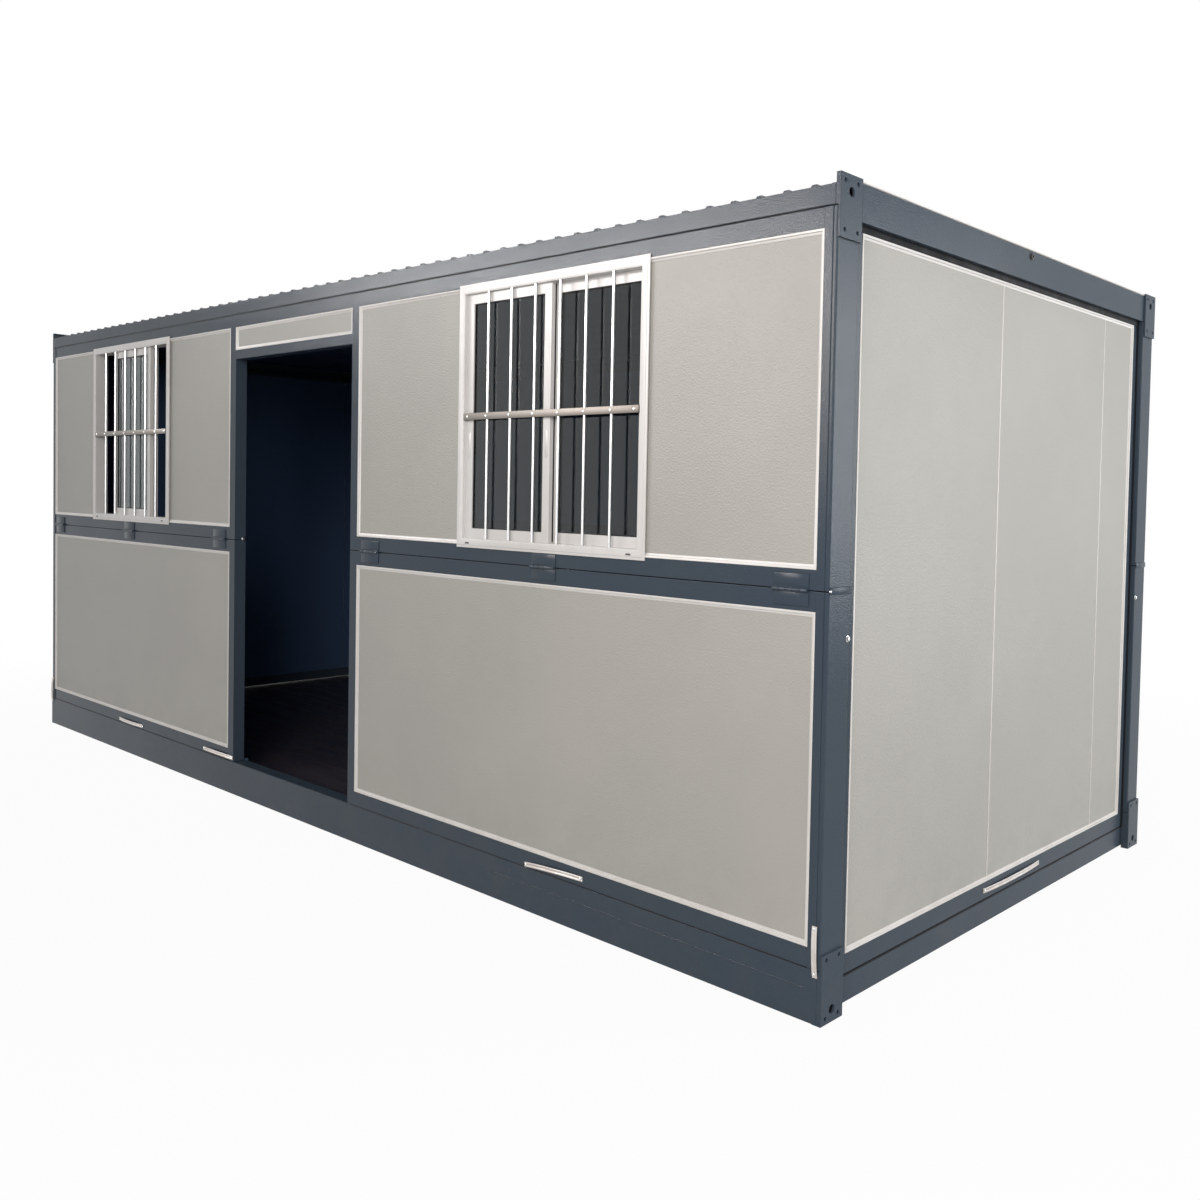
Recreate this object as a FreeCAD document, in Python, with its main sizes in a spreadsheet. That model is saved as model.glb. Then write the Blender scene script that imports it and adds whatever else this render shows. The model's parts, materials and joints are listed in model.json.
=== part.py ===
import FreeCAD, Part
import os
import Sketcher

# Foldable container house: two long side walls, each split at mid height into two
# halves that fold inwards, two end walls hung from the roof, a base frame and a roof.
# X runs along the house and Y across it; the door and windows face -Y. Z is up from
# the ground, and the origin is on the ground under the middle of the house.

doc = FreeCAD.newDocument("container_house")
sheet = doc.addObject("Spreadsheet::Sheet", "Sizes")

# Driving dimensions in millimetres: name, value, what it measures
DRIVING = [
    ("house_length", 6058, "over the corner plates"),
    ("house_width", 2438, "over the side wall frames"),
    ("plate_thick", 8, "steel of a corner plate"),
    ("plate_width", 110, "corner plate across the end, and the depth of a corner post"),
    ("corner_block", 24, "hollow block behind a corner plate"),
    ("block_wall", 6, "steel of the hollow block"),
    ("plate_lip", 8, "rim behind the part of a top plate above the roof beam"),
    ("top_plate_lap", 93, "top corner plate below the roof corner block"),
    ("bottom_plate_lap", 46, "bottom corner plate above the base beam"),
    ("plate_rise", 30, "top corner plate above the long roof beam"),
    ("bolt_hole", 13, "small holes of a corner plate"),
    ("lift_hole", 28, "large hole of a corner plate"),
    ("bolt_span_y", 64, "small holes apart, across"),
    ("top_bolt_span", 140, "small holes apart, up a top plate"),
    ("bottom_bolt_span", 174, "small holes apart, up a bottom plate"),
    ("top_bolt_edge", 21, "upper small holes below the top of a top plate"),
    ("bottom_bolt_edge", 18, "lower small holes above the ground"),
    ("top_lift_edge", 49, "large hole below the top of a top plate"),
    ("bottom_lift_edge", 38, "large hole above the ground"),
    ("base_beam_high", 162, "long base beam"),
    ("base_beam_wide", 70, "long base beam across"),
    ("beam_wall", 4, "steel of the beams"),
    ("edge_round", 5, "outer corners of beams and posts"),
    ("end_base_low", 12, "underside of the end base beam"),
    ("end_base_high", 82, "end base beam"),
    ("end_base_thick", 60, "end base beam along the house"),
    ("floor_thick", 18, "floor board"),
    ("joist_wide", 40, "floor joist"),
    ("joist_count", 11, "floor joists"),
    ("seam_gap", 2, "seam over the base beam"),
    ("fold_gap", 3, "seam between the halves and under the roof"),
    ("half_height", 1104, "each half of a side wall"),
    ("side_depth", 56, "side wall frame"),
    ("rail_width", 60, "side frame rails"),
    ("post_wide", 45, "corner post along the house"),
    ("post_wall", 3, "steel of the posts"),
    ("jamb_width", 55, "stiles beside the doorway"),
    ("panel_thick", 50, "sandwich panel"),
    ("trim_width", 16, "bead round a panel"),
    ("trim_proud", 2, "bead in front of its frame"),
    ("door_left", 587, "doorway's left edge from the middle"),
    ("door_width", 1058, "doorway"),
    ("header_rail", 44, "rail over the doorway"),
    ("transom_high", 112, "panel over the doorway"),
    ("window_width", 1030, "over the window's lip"),
    ("left_window_shift", 34, "left window left of the middle of its bay"),
    ("right_window_shift", 11, "right window right of the middle of its bay"),
    ("lip_width", 36, "window frame seen from the front"),
    ("lip_thick", 4, "window lip"),
    ("lip_over", 11, "window lip over the bead"),
    ("window_depth", 62, "window frame into the wall"),
    ("sash_width", 38, "sash profile"),
    ("sash_thick", 20, "sash profile"),
    ("sash_gap", 2, "between the two sliding sashes"),
    ("sash_lap", 24, "closed sashes over each other"),
    ("sash_inset", 14, "outer sash behind the front of the window frame"),
    ("glass_thick", 5, "window pane"),
    ("roof_beam_high", 62, "long roof beam"),
    ("roof_beam_wide", 50, "long roof beam across"),
    ("roof_end_thick", 18, "roof end beam along the house"),
    ("roof_end_high", 111, "roof end beam"),
    ("roof_end_rise", 20, "roof end beam above the long roof beam"),
    ("ceiling_thick", 8, "ceiling board"),
    ("roof_joist_high", 16, "roof joist"),
    ("roof_joist_wide", 40, "roof joist"),
    ("sheet_thick", 1.5, "roof sheet"),
    ("rib_pitch", 104, "roof sheet ribs apart"),
    ("rib_high", 14, "roof sheet rib"),
    ("rib_crown", 18, "flat top of a rib"),
    ("rib_slope", 9, "run of a rib's side"),
    ("sheet_set_back", 30, "roof sheet behind the faces of the long beams"),
    ("end_recess", 32, "end wall behind the corner plates"),
    ("end_wall_thick", 56, "end wall frame"),
    ("end_stile", 45, "end wall frame at its sides"),
    ("end_bottom_rail", 62, "end wall frame at its foot"),
    ("end_top_rail", 24, "end wall frame at its head"),
    ("end_clear", 6, "end wall clear of posts and base"),
    ("panel_cover", 910, "end wall panel between joints"),
    ("joint_groove", 3, "open joint between two panels"),
    ("hinge_drop", 8, "hinge axis above the end wall's head"),
    ("hinge_inset", 6, "hinge axis behind the end wall's face"),
    ("head_hidden", 3, "end wall's head above the underside of the roof end beam"),
    ("knuckle_radius", 7, "end wall hinge"),
    ("knuckle_length", 40, "end wall hinge"),
    ("knuckle_gap", 1, "between hinge knuckles"),
    ("pin_radius", 4, "end wall hinge pin"),
    ("pin_clear", 0.3, "pin in the moving knuckle"),
    ("hinge_spread", 800, "outer end wall hinges from the middle"),
    ("leaf_length", 131, "fold hinge"),
    ("leaf_high", 48, "fold hinge leaf above and below the seam"),
    ("leaf_thick", 4, "fold hinge leaf"),
    ("barrel_radius", 7, "fold hinge knuckle"),
    ("post_hinge_gap", 25, "outermost fold hinges from the corner posts"),
    ("jamb_hinge_gap", 38, "fold hinges from the stiles of the doorway"),
    ("handle_length", 320, "pull handle on a side wall"),
    ("end_handle", 450, "pull handle on an end wall"),
    ("right_handle_shift", 91, "right pull handle right of the middle of its bay"),
    ("strap_length", 152, "upright pull strap at a corner"),
    ("strap_drop", 20, "corner strap below the top of the base beam"),
    ("strap_shift", 7, "corner strap outward of the middle of the post"),
    ("end_handle_shift", 40, "end wall handle behind the middle of its wall"),
    ("handle_width", 18, "pull handles"),
    ("handle_proud", 20, "pull handles"),
    ("handle_steel", 3, "pull handles"),
    ("handle_foot", 12, "foot of a pull handle"),
    ("handle_rise", 40, "run from a handle's foot to its grip"),
    ("handle_low", 8, "side handle above the foot of the wall"),
    ("gland_radius", 14, "cable gland"),
    ("gland_length", 8, "cable gland"),
    ("gland_bore", 5, "cable gland"),
]


class Size:
    """A length worked out from the sheet, as a number and as the sheet's formula."""

    def __init__(self, formula, value):
        self.formula = formula
        self.value = value

    def __add__(self, other):
        other = size(other)
        return Size("(%s + %s)" % (self.formula, other.formula), self.value + other.value)

    def __sub__(self, other):
        other = size(other)
        return Size("(%s - %s)" % (self.formula, other.formula), self.value - other.value)

    def __mul__(self, other):
        other = size(other)
        return Size("(%s * %s)" % (self.formula, other.formula), self.value * other.value)

    def __truediv__(self, other):
        other = size(other)
        return Size("(%s / %s)" % (self.formula, other.formula), self.value / other.value)

    def __neg__(self):
        return size(0) - self


def size(number):
    if isinstance(number, Size):
        return number
    return Size(repr(number), float(number))


class Sizes:
    """The driving dimensions, by name."""


d = Sizes()
for row, (alias, value, note) in enumerate(DRIVING, start=1):
    sheet.set("A%d" % row, alias)
    sheet.set("B%d" % row, str(value))
    sheet.set("C%d" % row, note)
    sheet.setAlias("B%d" % row, alias)
    setattr(d, alias, Size("Sizes.%s" % alias, float(value)))
doc.recompute()


# Helpers for features whose sizes are bound to the sheet

def bind(feature, name, length):
    feature.setExpression(name, size(length).formula)


def put(feature, x, y, z):
    feature.Placement = FreeCAD.Placement(FreeCAD.Vector(size(x).value, size(y).value, size(z).value),
                                          feature.Placement.Rotation)
    bind(feature, "Placement.Base.x", x)
    bind(feature, "Placement.Base.y", y)
    bind(feature, "Placement.Base.z", z)
    return feature


def block(label, x, y, z, sx, sy, sz):
    feature = doc.addObject("Part::Box", label)
    feature.Label = label
    bind(feature, "Length", sx)
    bind(feature, "Width", sy)
    bind(feature, "Height", sz)
    return put(feature, x, y, z)


def rod(label, x, y, z, radius, length, axis):
    feature = doc.addObject("Part::Cylinder", label)
    feature.Label = label
    bind(feature, "Radius", radius)
    bind(feature, "Height", length)
    feature.Placement.Rotation = FreeCAD.Rotation(FreeCAD.Vector(0, 0, 1), axis)
    return put(feature, x, y, z)


def cut(label, base, tool):
    feature = doc.addObject("Part::Cut", label)
    feature.Label = label
    feature.Base = base
    feature.Tool = tool
    return feature


def fuse(label, *pieces):
    feature = doc.addObject("Part::MultiFuse", label)
    feature.Label = label
    feature.Shapes = list(pieces)
    return feature


def group(label, pieces):
    feature = doc.addObject("Part::Compound", label)
    feature.Label = label
    feature.Links = list(pieces)
    return feature


def mirror(label, source, normal):
    feature = doc.addObject("Part::Mirroring", label)
    feature.Label = label
    feature.Source = source
    feature.Normal = normal
    return feature


ALONG_X = FreeCAD.Vector(1, 0, 0)
ALONG_Y = FreeCAD.Vector(0, 1, 0)
ALONG_Z = FreeCAD.Vector(0, 0, 1)


def four_corners(label, source):
    """Source repeated at the four corners of the house."""
    across = mirror(label + "_across", source, ALONG_Y)
    return group(label, [source, across, mirror(label + "_along", source, ALONG_X),
                         mirror(label + "_opposite", across, ALONG_X)])


def new_body(label):
    body = doc.addObject("PartDesign::Body", label)
    body.Label = label
    return body


def new_sketch(body, name, role):
    plane = [part for part in body.Origin.OriginFeatures if part.Role == role][0]
    sketch = body.newObject("Sketcher::SketchObject", name)
    sketch.AttachmentSupport = (plane, [""])
    sketch.MapMode = "FlatFace"
    return sketch


def hold(sketch, dimensions):
    """Add dimensions given as a kind, what they hold and a length, bound to the sheet."""
    constraints = [Sketcher.Constraint(kind, *held, size(length).value)
                   for kind, held, length in dimensions]
    first = sketch.ConstraintCount
    sketch.addConstraint(constraints)
    for step, (kind, held, length) in enumerate(dimensions):
        sketch.setExpression("Constraints[%d]" % (first + step), size(length).formula)


def from_origin(geometry, point, u, v):
    """The two dimensions that hold a point of a sketch from its origin."""
    return [("DistanceX", (-1, 1, geometry, point), u), ("DistanceY", (-1, 1, geometry, point), v)]


def outline(sketch, corners):
    """A closed outline of straight edges, every corner measured from the origin."""
    points = [FreeCAD.Vector(size(u).value, size(v).value, 0) for u, v in corners]
    first = sketch.GeometryCount
    sketch.addGeometry([Part.LineSegment(start, end)
                        for start, end in zip(points, points[1:] + points[:1])], False)
    count = len(points)
    sketch.addConstraint([Sketcher.Constraint("Coincident", first + step, 2,
                                              first + (step + 1) % count, 1)
                          for step in range(count)])
    dimensions = []
    for step, (u, v) in enumerate(corners):
        dimensions += from_origin(first + step, 1, u, v)
    hold(sketch, dimensions)


def rectangle(sketch, u, v, width, height):
    u, v, width, height = size(u), size(v), size(width), size(height)
    outline(sketch, [(u, v), (u + width, v), (u + width, v + height), (u, v + height)])


def circle(sketch, u, v, diameter):
    u, v, diameter = size(u), size(v), size(diameter)
    centre = FreeCAD.Vector(u.value, v.value, 0)
    index = sketch.addGeometry(Part.Circle(centre, ALONG_Z, diameter.value / 2), False)
    hold(sketch, from_origin(index, 3, u, v) + [("Diameter", (index,), diameter)])


def pad(body, sketch, length, backwards=False):
    feature = body.newObject("PartDesign::Pad", body.Label + "_pad")
    feature.Profile = sketch
    bind(feature, "Length", length)
    feature.Reversed = backwards
    sketch.Visibility = False
    return feature


def pocket(body, sketch, backwards=False):
    """Cut the sketch right through the body on one side of its plane."""
    doc.recompute()
    before = body.Shape.Volume
    feature = body.newObject("PartDesign::Pocket", body.Label + "_pocket")
    feature.Profile = sketch
    feature.Type = "ThroughAll"
    feature.Reversed = backwards
    sketch.Visibility = False
    doc.recompute()
    if body.Shape.Volume >= before:
        raise ValueError("the pocket of %s cuts nothing" % body.Label)
    return feature


def round_corners(body, base, along, radius, span):
    """Round the outer corners of a tube, along its length."""
    doc.recompute()
    edges = []
    for index, edge in enumerate(base.Shape.Edges, start=1):
        ends = [vertex.Point for vertex in edge.Vertexes]
        if len(ends) < 2 or (ends[1] - ends[0]).cross(along).Length > 0.001:
            continue
        if edge.Length < span.value * 0.9:
            continue
        box = base.Shape.BoundBox
        outer = 0
        for value, low, high, axis in ((ends[0].x, box.XMin, box.XMax, ALONG_X),
                                       (ends[0].y, box.YMin, box.YMax, ALONG_Y),
                                       (ends[0].z, box.ZMin, box.ZMax, ALONG_Z)):
            at_side = min(abs(value - low), abs(value - high)) < 0.001
            if axis != along and at_side:
                outer += 1
        if outer == 2:
            edges.append("Edge%d" % index)
    feature = body.newObject("PartDesign::Fillet", body.Label + "_corners")
    feature.Base = (base, edges)
    bind(feature, "Radius", radius)
    return feature


# Levels and faces worked out from the driving dimensions

end_x = d.house_length / 2
beam_end_x = end_x - d.plate_thick
block_x = beam_end_x - d.corner_block
side_y = d.house_width / 2
post_y = side_y - d.plate_width
post_x = beam_end_x - d.post_wide
wall_x = end_x - d.end_recess
side_inner_y = side_y - d.side_depth

base_top = d.base_beam_high
lower_foot = base_top + d.seam_gap
lower_top = lower_foot + d.half_height
upper_foot = lower_top + d.fold_gap
upper_top = upper_foot + d.half_height
roof_foot = upper_top + d.fold_gap
roof_top = roof_foot + d.roof_beam_high
floor_top = d.end_base_low + d.end_base_high
plate_top = roof_top + d.plate_rise
roof_end_top = roof_top + d.roof_end_rise
roof_end_foot = roof_end_top - d.roof_end_high
end_foot = floor_top + d.end_clear
end_top = roof_end_foot + d.head_hidden
hinge_z = end_top + d.hinge_drop
hinge_x = wall_x - d.hinge_inset

door_left_x = -d.door_left
door_right_x = door_left_x + d.door_width
left_bay_end = door_left_x - d.jamb_width
right_bay_start = door_right_x + d.jamb_width
lower_bay_foot = lower_foot + d.rail_width
lower_bay_top = lower_top - d.rail_width
upper_bay_foot = upper_foot + d.rail_width
upper_bay_top = upper_top - d.rail_width
transom_foot = upper_bay_top - d.transom_high
door_head = transom_foot - d.header_rail
panel_y = side_inner_y + d.panel_thick


# Base: two long beams, two end beams, joists and the floor board

def long_tube(label, y, z, wide, high):
    """A hollow beam along the house, between the corner blocks."""
    body = new_body(label)
    sketch = new_sketch(body, label + "_section", "YZ_Plane")
    rectangle(sketch, 0, 0, wide, high)
    rectangle(sketch, d.beam_wall, d.beam_wall, wide - d.beam_wall * 2, high - d.beam_wall * 2)
    base = pad(body, sketch, block_x * 2)
    round_corners(body, base, ALONG_X, d.edge_round, block_x * 2)
    return put(body, -block_x, y, z)


def end_tube(label, x, y, z, thick, length, high):
    """A hollow beam across the house."""
    body = new_body(label)
    sketch = new_sketch(body, label + "_section", "XZ_Plane")
    rectangle(sketch, 0, 0, thick, high)
    rectangle(sketch, d.beam_wall, d.beam_wall, thick - d.beam_wall * 2, high - d.beam_wall * 2)
    pad(body, sketch, length, backwards=True)
    return put(body, x, y, z)


base_inner_y = side_y - d.base_beam_wide
parts = [
    long_tube("base_front_beam", -side_y, 0, d.base_beam_wide, d.base_beam_high),
    long_tube("base_back_beam", base_inner_y, 0, d.base_beam_wide, d.base_beam_high),
    end_tube("base_left_beam", -wall_x, -base_inner_y, d.end_base_low,
             d.end_base_thick, base_inner_y * 2, d.end_base_high),
    end_tube("base_right_beam", wall_x - d.end_base_thick, -base_inner_y, d.end_base_low,
             d.end_base_thick, base_inner_y * 2, d.end_base_high),
]

floor_end_x = wall_x - d.end_base_thick
joist_high = d.end_base_high - d.floor_thick
joist_pitch = floor_end_x * 2 / (d.joist_count + 1)
joists = []
for number in range(int(d.joist_count.value)):
    joist_x = joist_pitch * (number + 1) - floor_end_x - d.joist_wide / 2
    joists.append(block("floor_joist_%d" % (number + 1), joist_x, -base_inner_y, d.end_base_low,
                        d.joist_wide, base_inner_y * 2, joist_high))
parts.append(group("floor_joists", joists))
parts.append(block("floor_board", -floor_end_x, -base_inner_y, floor_top - d.floor_thick,
                   floor_end_x * 2, base_inner_y * 2, d.floor_thick))


# Corner plates: a plate with four bolt holes and a lifting hole, on a hollow block

def corner_plate(label, foot, top, block_foot, block_top, bolt_low, bolt_high, lift_z):
    body = new_body(label)
    middle_y = -(side_y - d.plate_width / 2)
    half_span = d.bolt_span_y / 2
    plate = new_sketch(body, label + "_plate", "YZ_Plane")
    rectangle(plate, -side_y, foot, d.plate_width, top - foot)
    for hole_y in (middle_y - half_span, middle_y + half_span):
        circle(plate, hole_y, bolt_low, d.bolt_hole)
        circle(plate, hole_y, bolt_high, d.bolt_hole)
    circle(plate, middle_y, lift_z, d.lift_hole)
    pad(body, plate, d.plate_thick)
    walls = new_sketch(body, label + "_block", "YZ_Plane")
    block_high = block_top - block_foot
    rectangle(walls, -side_y, block_foot, d.plate_width, block_high)
    rectangle(walls, -side_y + d.block_wall, block_foot + d.block_wall,
              d.plate_width - d.block_wall * 2, block_high - d.block_wall * 2)
    pad(body, walls, d.corner_block, backwards=True)
    return put(body, beam_end_x, 0, 0)


def top_lip(body, foot, top):
    """A rim behind the two sides and the top of the plate, above the roof beam."""
    lip = new_sketch(body, "top_plate_lip", "YZ_Plane")
    left, right = -side_y, -side_y + d.plate_width
    outline(lip, [
        (left, foot), (left, top), (right, top), (right, foot),
        (right - d.block_wall, foot), (right - d.block_wall, top - d.block_wall),
        (left + d.block_wall, top - d.block_wall), (left + d.block_wall, foot)])
    pad(body, lip, d.plate_lip, backwards=True)


bottom_plate_top = base_top + d.bottom_plate_lap
top_plate_foot = roof_foot - d.top_plate_lap
bottom_bolts = (d.bottom_bolt_edge, d.bottom_bolt_edge + d.bottom_bolt_span)
top_bolts = (plate_top - d.top_bolt_edge - d.top_bolt_span, plate_top - d.top_bolt_edge)
bottom_corner = corner_plate("bottom_corner_plate", size(0), bottom_plate_top, size(0), base_top,
                             bottom_bolts[0], bottom_bolts[1], d.bottom_lift_edge)
top_corner = corner_plate("top_corner_plate", top_plate_foot, plate_top, roof_foot, roof_top,
                          top_bolts[0], top_bolts[1], plate_top - d.top_lift_edge)
top_lip(top_corner, roof_top, plate_top)
parts.append(four_corners("bottom_corner_plates", bottom_corner))
parts.append(four_corners("top_corner_plates", top_corner))


# Corner posts: hollow, in two halves that part at the fold

def corner_post(label, foot, high, bolt_z):
    body = new_body(label)
    sketch = new_sketch(body, label + "_section", "XY_Plane")
    rectangle(sketch, 0, 0, d.post_wide, d.plate_width)
    rectangle(sketch, d.post_wall, d.post_wall, d.post_wide - d.post_wall * 2,
              d.plate_width - d.post_wall * 2)
    base = pad(body, sketch, high)
    round_corners(body, base, ALONG_Z, d.edge_round, high)
    holes = new_sketch(body, label + "_holes", "YZ_Plane")
    for hole_y in (d.plate_width / 2 - d.bolt_span_y / 2, d.plate_width / 2 + d.bolt_span_y / 2):
        circle(holes, hole_y, bolt_z - foot, d.bolt_hole)
    pocket(body, holes, backwards=True)
    return put(body, post_x, -side_y, foot)


parts.append(four_corners("lower_corner_posts",
                          corner_post("lower_corner_post", lower_foot, d.half_height, bottom_bolts[1])))
parts.append(four_corners("upper_corner_posts",
                          corner_post("upper_corner_post", upper_foot, d.half_height, top_bolts[0])))


# Side walls: frames of rails and stiles, the sandwich panels in them and white beads

def side_frame(label, start_x, end, foot, top, bays):
    """A welded frame in the front wall, open at each bay given as x, z, width, height."""
    body = new_body(label)
    sketch = new_sketch(body, label + "_outside", "XZ_Plane")
    rectangle(sketch, start_x, foot, end - start_x, top - foot)
    pad(body, sketch, d.side_depth, backwards=True)
    openings = new_sketch(body, label + "_bays", "XZ_Plane")
    for bay in bays:
        rectangle(openings, *bay)
    pocket(body, openings)
    return put(body, 0, -side_y, 0)


overrun = d.rail_width
bay_high = d.half_height - d.rail_width * 2
left_bay_width = left_bay_end + post_x
right_bay_width = post_x - right_bay_start
left_bay = (-post_x, left_bay_width)
right_bay = (right_bay_start, right_bay_width)


def left_frame(label, foot, top, bay_foot):
    return side_frame(label, -post_x, door_left_x, foot, top,
                      [(-post_x - overrun, bay_foot, left_bay_width + overrun, bay_high)])


def right_frame(label, foot, top, bay_foot):
    return side_frame(label, door_right_x, post_x, foot, top,
                      [(right_bay_start, bay_foot, right_bay_width + overrun, bay_high)])


parts.append(left_frame("front_lower_left_frame", lower_foot, lower_top, lower_bay_foot))
parts.append(right_frame("front_lower_right_frame", lower_foot, lower_top, lower_bay_foot))
parts.append(left_frame("front_upper_left_frame", upper_foot, upper_top, upper_bay_foot))
parts.append(right_frame("front_upper_right_frame", upper_foot, upper_top, upper_bay_foot))
parts.append(side_frame("door_header_frame", door_left_x, door_right_x, door_head, upper_top,
                        [(door_left_x - overrun, transom_foot, d.door_width + overrun * 2,
                          d.transom_high)]))

# The window frame fills the height of its bay, so a panel stands on each side of it
window_body_width = d.window_width - d.lip_over * 2
left_bay_middle = (left_bay_end - post_x) / 2
right_bay_middle = (right_bay_start + post_x) / 2
window_left_x = left_bay_middle - d.left_window_shift - window_body_width / 2
window_right_x = right_bay_middle + d.right_window_shift - window_body_width / 2


def front_panel(label, x, z, width, high):
    return block(label, x, -panel_y, z, width, d.panel_thick, high)


def panel_round_window(label, bay, window_x):
    bay_x, bay_width = bay
    beyond_x = window_x + window_body_width
    left_piece = front_panel(label + "_left", bay_x, upper_bay_foot, window_x - bay_x, bay_high)
    right_piece = front_panel(label + "_right", beyond_x, upper_bay_foot,
                              bay_x + bay_width - beyond_x, bay_high)
    return group(label, [left_piece, right_piece])


parts.append(front_panel("front_lower_left_panel", left_bay[0], lower_bay_foot, left_bay[1], bay_high))
parts.append(front_panel("front_lower_right_panel", right_bay[0], lower_bay_foot, right_bay[1], bay_high))
parts.append(panel_round_window("front_upper_left_panel", left_bay, window_left_x))
parts.append(panel_round_window("front_upper_right_panel", right_bay, window_right_x))
parts.append(front_panel("door_header_panel", door_left_x, transom_foot, d.door_width, d.transom_high))

trim_face_y = side_y + d.trim_proud
trim_thick = trim_face_y - panel_y


def trim_ring(label, x, z, width, high):
    """The bead round one panel of the front wall."""
    body = new_body(label)
    sketch = new_sketch(body, label + "_outline", "XZ_Plane")
    rectangle(sketch, x, z, width, high)
    rectangle(sketch, x + d.trim_width, z + d.trim_width,
              width - d.trim_width * 2, high - d.trim_width * 2)
    pad(body, sketch, trim_thick, backwards=True)
    return put(body, 0, -trim_face_y, 0)


def trim_round_window(label, bay, window_x):
    ring = trim_ring(label + "_ring", bay[0], upper_bay_foot, bay[1], bay_high)
    gap = block(label + "_gap", window_x, -trim_face_y, upper_bay_foot,
                window_body_width, trim_thick, bay_high)
    return cut(label, ring, gap)


parts.append(group("front_panel_trims", [
    trim_ring("lower_left_trim", left_bay[0], lower_bay_foot, left_bay[1], bay_high),
    trim_ring("lower_right_trim", right_bay[0], lower_bay_foot, right_bay[1], bay_high),
    trim_round_window("upper_left_trim", left_bay, window_left_x),
    trim_round_window("upper_right_trim", right_bay, window_right_x),
    trim_ring("door_header_trim", door_left_x, transom_foot, d.door_width, d.transom_high),
]))


# The back wall has the same frames in three equal bays and no opening
back_bay_width = (post_x * 2 - d.jamb_width * 2) / 3
back_bays = [-post_x + (back_bay_width + d.jamb_width) * number for number in range(3)]


def back_frame(label, foot, top, bay_foot):
    openings = [(back_bays[0] - overrun, bay_foot, back_bay_width + overrun, bay_high),
                (back_bays[1], bay_foot, back_bay_width, bay_high),
                (back_bays[2], bay_foot, back_bay_width + overrun, bay_high)]
    front = side_frame(label + "_half", -post_x, post_x, foot, top, openings)
    return mirror(label, front, ALONG_Y)


def back_row(label, piece, bay_foot):
    """One piece in each bay of a half of the back wall."""
    pieces = []
    for number, bay_x in enumerate(back_bays, start=1):
        front = piece("%s_%d" % (label, number), bay_x, bay_foot, back_bay_width, bay_high)
        pieces.append(mirror("%s_%d_back" % (label, number), front, ALONG_Y))
    return pieces


parts.append(back_frame("back_lower_frame", lower_foot, lower_top, lower_bay_foot))
parts.append(back_frame("back_upper_frame", upper_foot, upper_top, upper_bay_foot))
parts.append(group("back_lower_panels", back_row("back_lower_panel", front_panel, lower_bay_foot)))
parts.append(group("back_upper_panels", back_row("back_upper_panel", front_panel, upper_bay_foot)))
parts.append(group("back_panel_trims", back_row("back_lower_trim", trim_ring, lower_bay_foot)
                   + back_row("back_upper_trim", trim_ring, upper_bay_foot)))


# Seals in the three seams of a side wall, set back from its face
def seal(label, start_x, stop_x, z, high):
    set_back = d.side_depth / 4
    return block(label, start_x, -side_y + set_back, z, stop_x - start_x, set_back * 2, high)


seals = []
for number, (start_x, stop_x) in enumerate([(-beam_end_x, door_left_x), (door_right_x, beam_end_x)]):
    seals.append(seal("front_base_seal_%d" % number, start_x, stop_x, base_top, d.seam_gap))
    seals.append(seal("front_fold_seal_%d" % number, start_x, stop_x, lower_top, d.fold_gap))
seals.append(seal("front_roof_seal", -beam_end_x, beam_end_x, upper_top, d.fold_gap))
for name, z, high in (("base", base_top, d.seam_gap), ("fold", lower_top, d.fold_gap),
                      ("roof", upper_top, d.fold_gap)):
    strip = seal("back_%s_seal_front" % name, -beam_end_x, beam_end_x, z, high)
    seals.append(mirror("back_%s_seal" % name, strip, ALONG_Y))
parts.append(group("seam_seals", seals))


# Fold hinges over the middle seam: two leaves and a knuckle on the outer face
def fold_hinge(label, x):
    middle_z = lower_top + d.fold_gap / 2
    leaves = block(label + "_leaves", x, -side_y - d.leaf_thick, middle_z - d.leaf_high,
                   d.leaf_length, d.leaf_thick, d.leaf_high * 2)
    knuckle = rod(label + "_knuckle", x, -side_y - d.leaf_thick - d.barrel_radius / 2, middle_z,
                  d.barrel_radius, d.leaf_length, ALONG_X)
    return fuse(label, leaves, knuckle)


# Each bay has one hinge near each end and one under its window
outer_hinge_x = post_x - d.post_hinge_gap - d.leaf_length
half_leaf = d.leaf_length / 2
front_hinge_xs = [
    -outer_hinge_x - d.leaf_length,
    window_left_x + window_body_width / 2 - half_leaf,
    left_bay_end - d.jamb_hinge_gap - d.leaf_length,
    right_bay_start + d.jamb_hinge_gap,
    window_right_x + window_body_width / 2 - half_leaf,
    outer_hinge_x,
]
front_hinges = [fold_hinge("front_hinge_%d" % number, x)
                for number, x in enumerate(front_hinge_xs, start=1)]
back_hinges = [mirror("back_hinge_%d" % number, hinge, ALONG_Y)
               for number, hinge in enumerate(front_hinges, start=1)]
parts.append(group("front_fold_hinges", front_hinges))
parts.append(group("back_fold_hinges", back_hinges))


# Pull handles: strips of steel with two feet and a raised grip
def handle_body(label, role, length):
    """A strip that runs up the sketch plane, bowed out to one side between its feet."""
    body = new_body(label)
    sketch = new_sketch(body, label + "_bend", role)
    inner = d.handle_proud - d.handle_steel
    slope = d.handle_rise
    foot = d.handle_foot
    outline(sketch, [
        (0, 0), (0, foot), (inner, foot + slope), (inner, length - foot - slope),
        (0, length - foot), (0, length), (d.handle_steel, length),
        (d.handle_steel, length - foot), (d.handle_proud, length - foot - slope),
        (d.handle_proud, foot + slope), (d.handle_steel, foot),
        (d.handle_steel, 0)])
    pad(body, sketch, d.handle_width)
    return body


def side_handle(label, middle_x):
    """A level handle at the foot of the front wall."""
    body = handle_body(label, "XY_Plane", d.handle_length)
    body.Placement.Rotation = FreeCAD.Rotation(ALONG_Z, -90)
    return put(body, middle_x - d.handle_length / 2, -side_y, lower_foot + d.handle_low)


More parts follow.
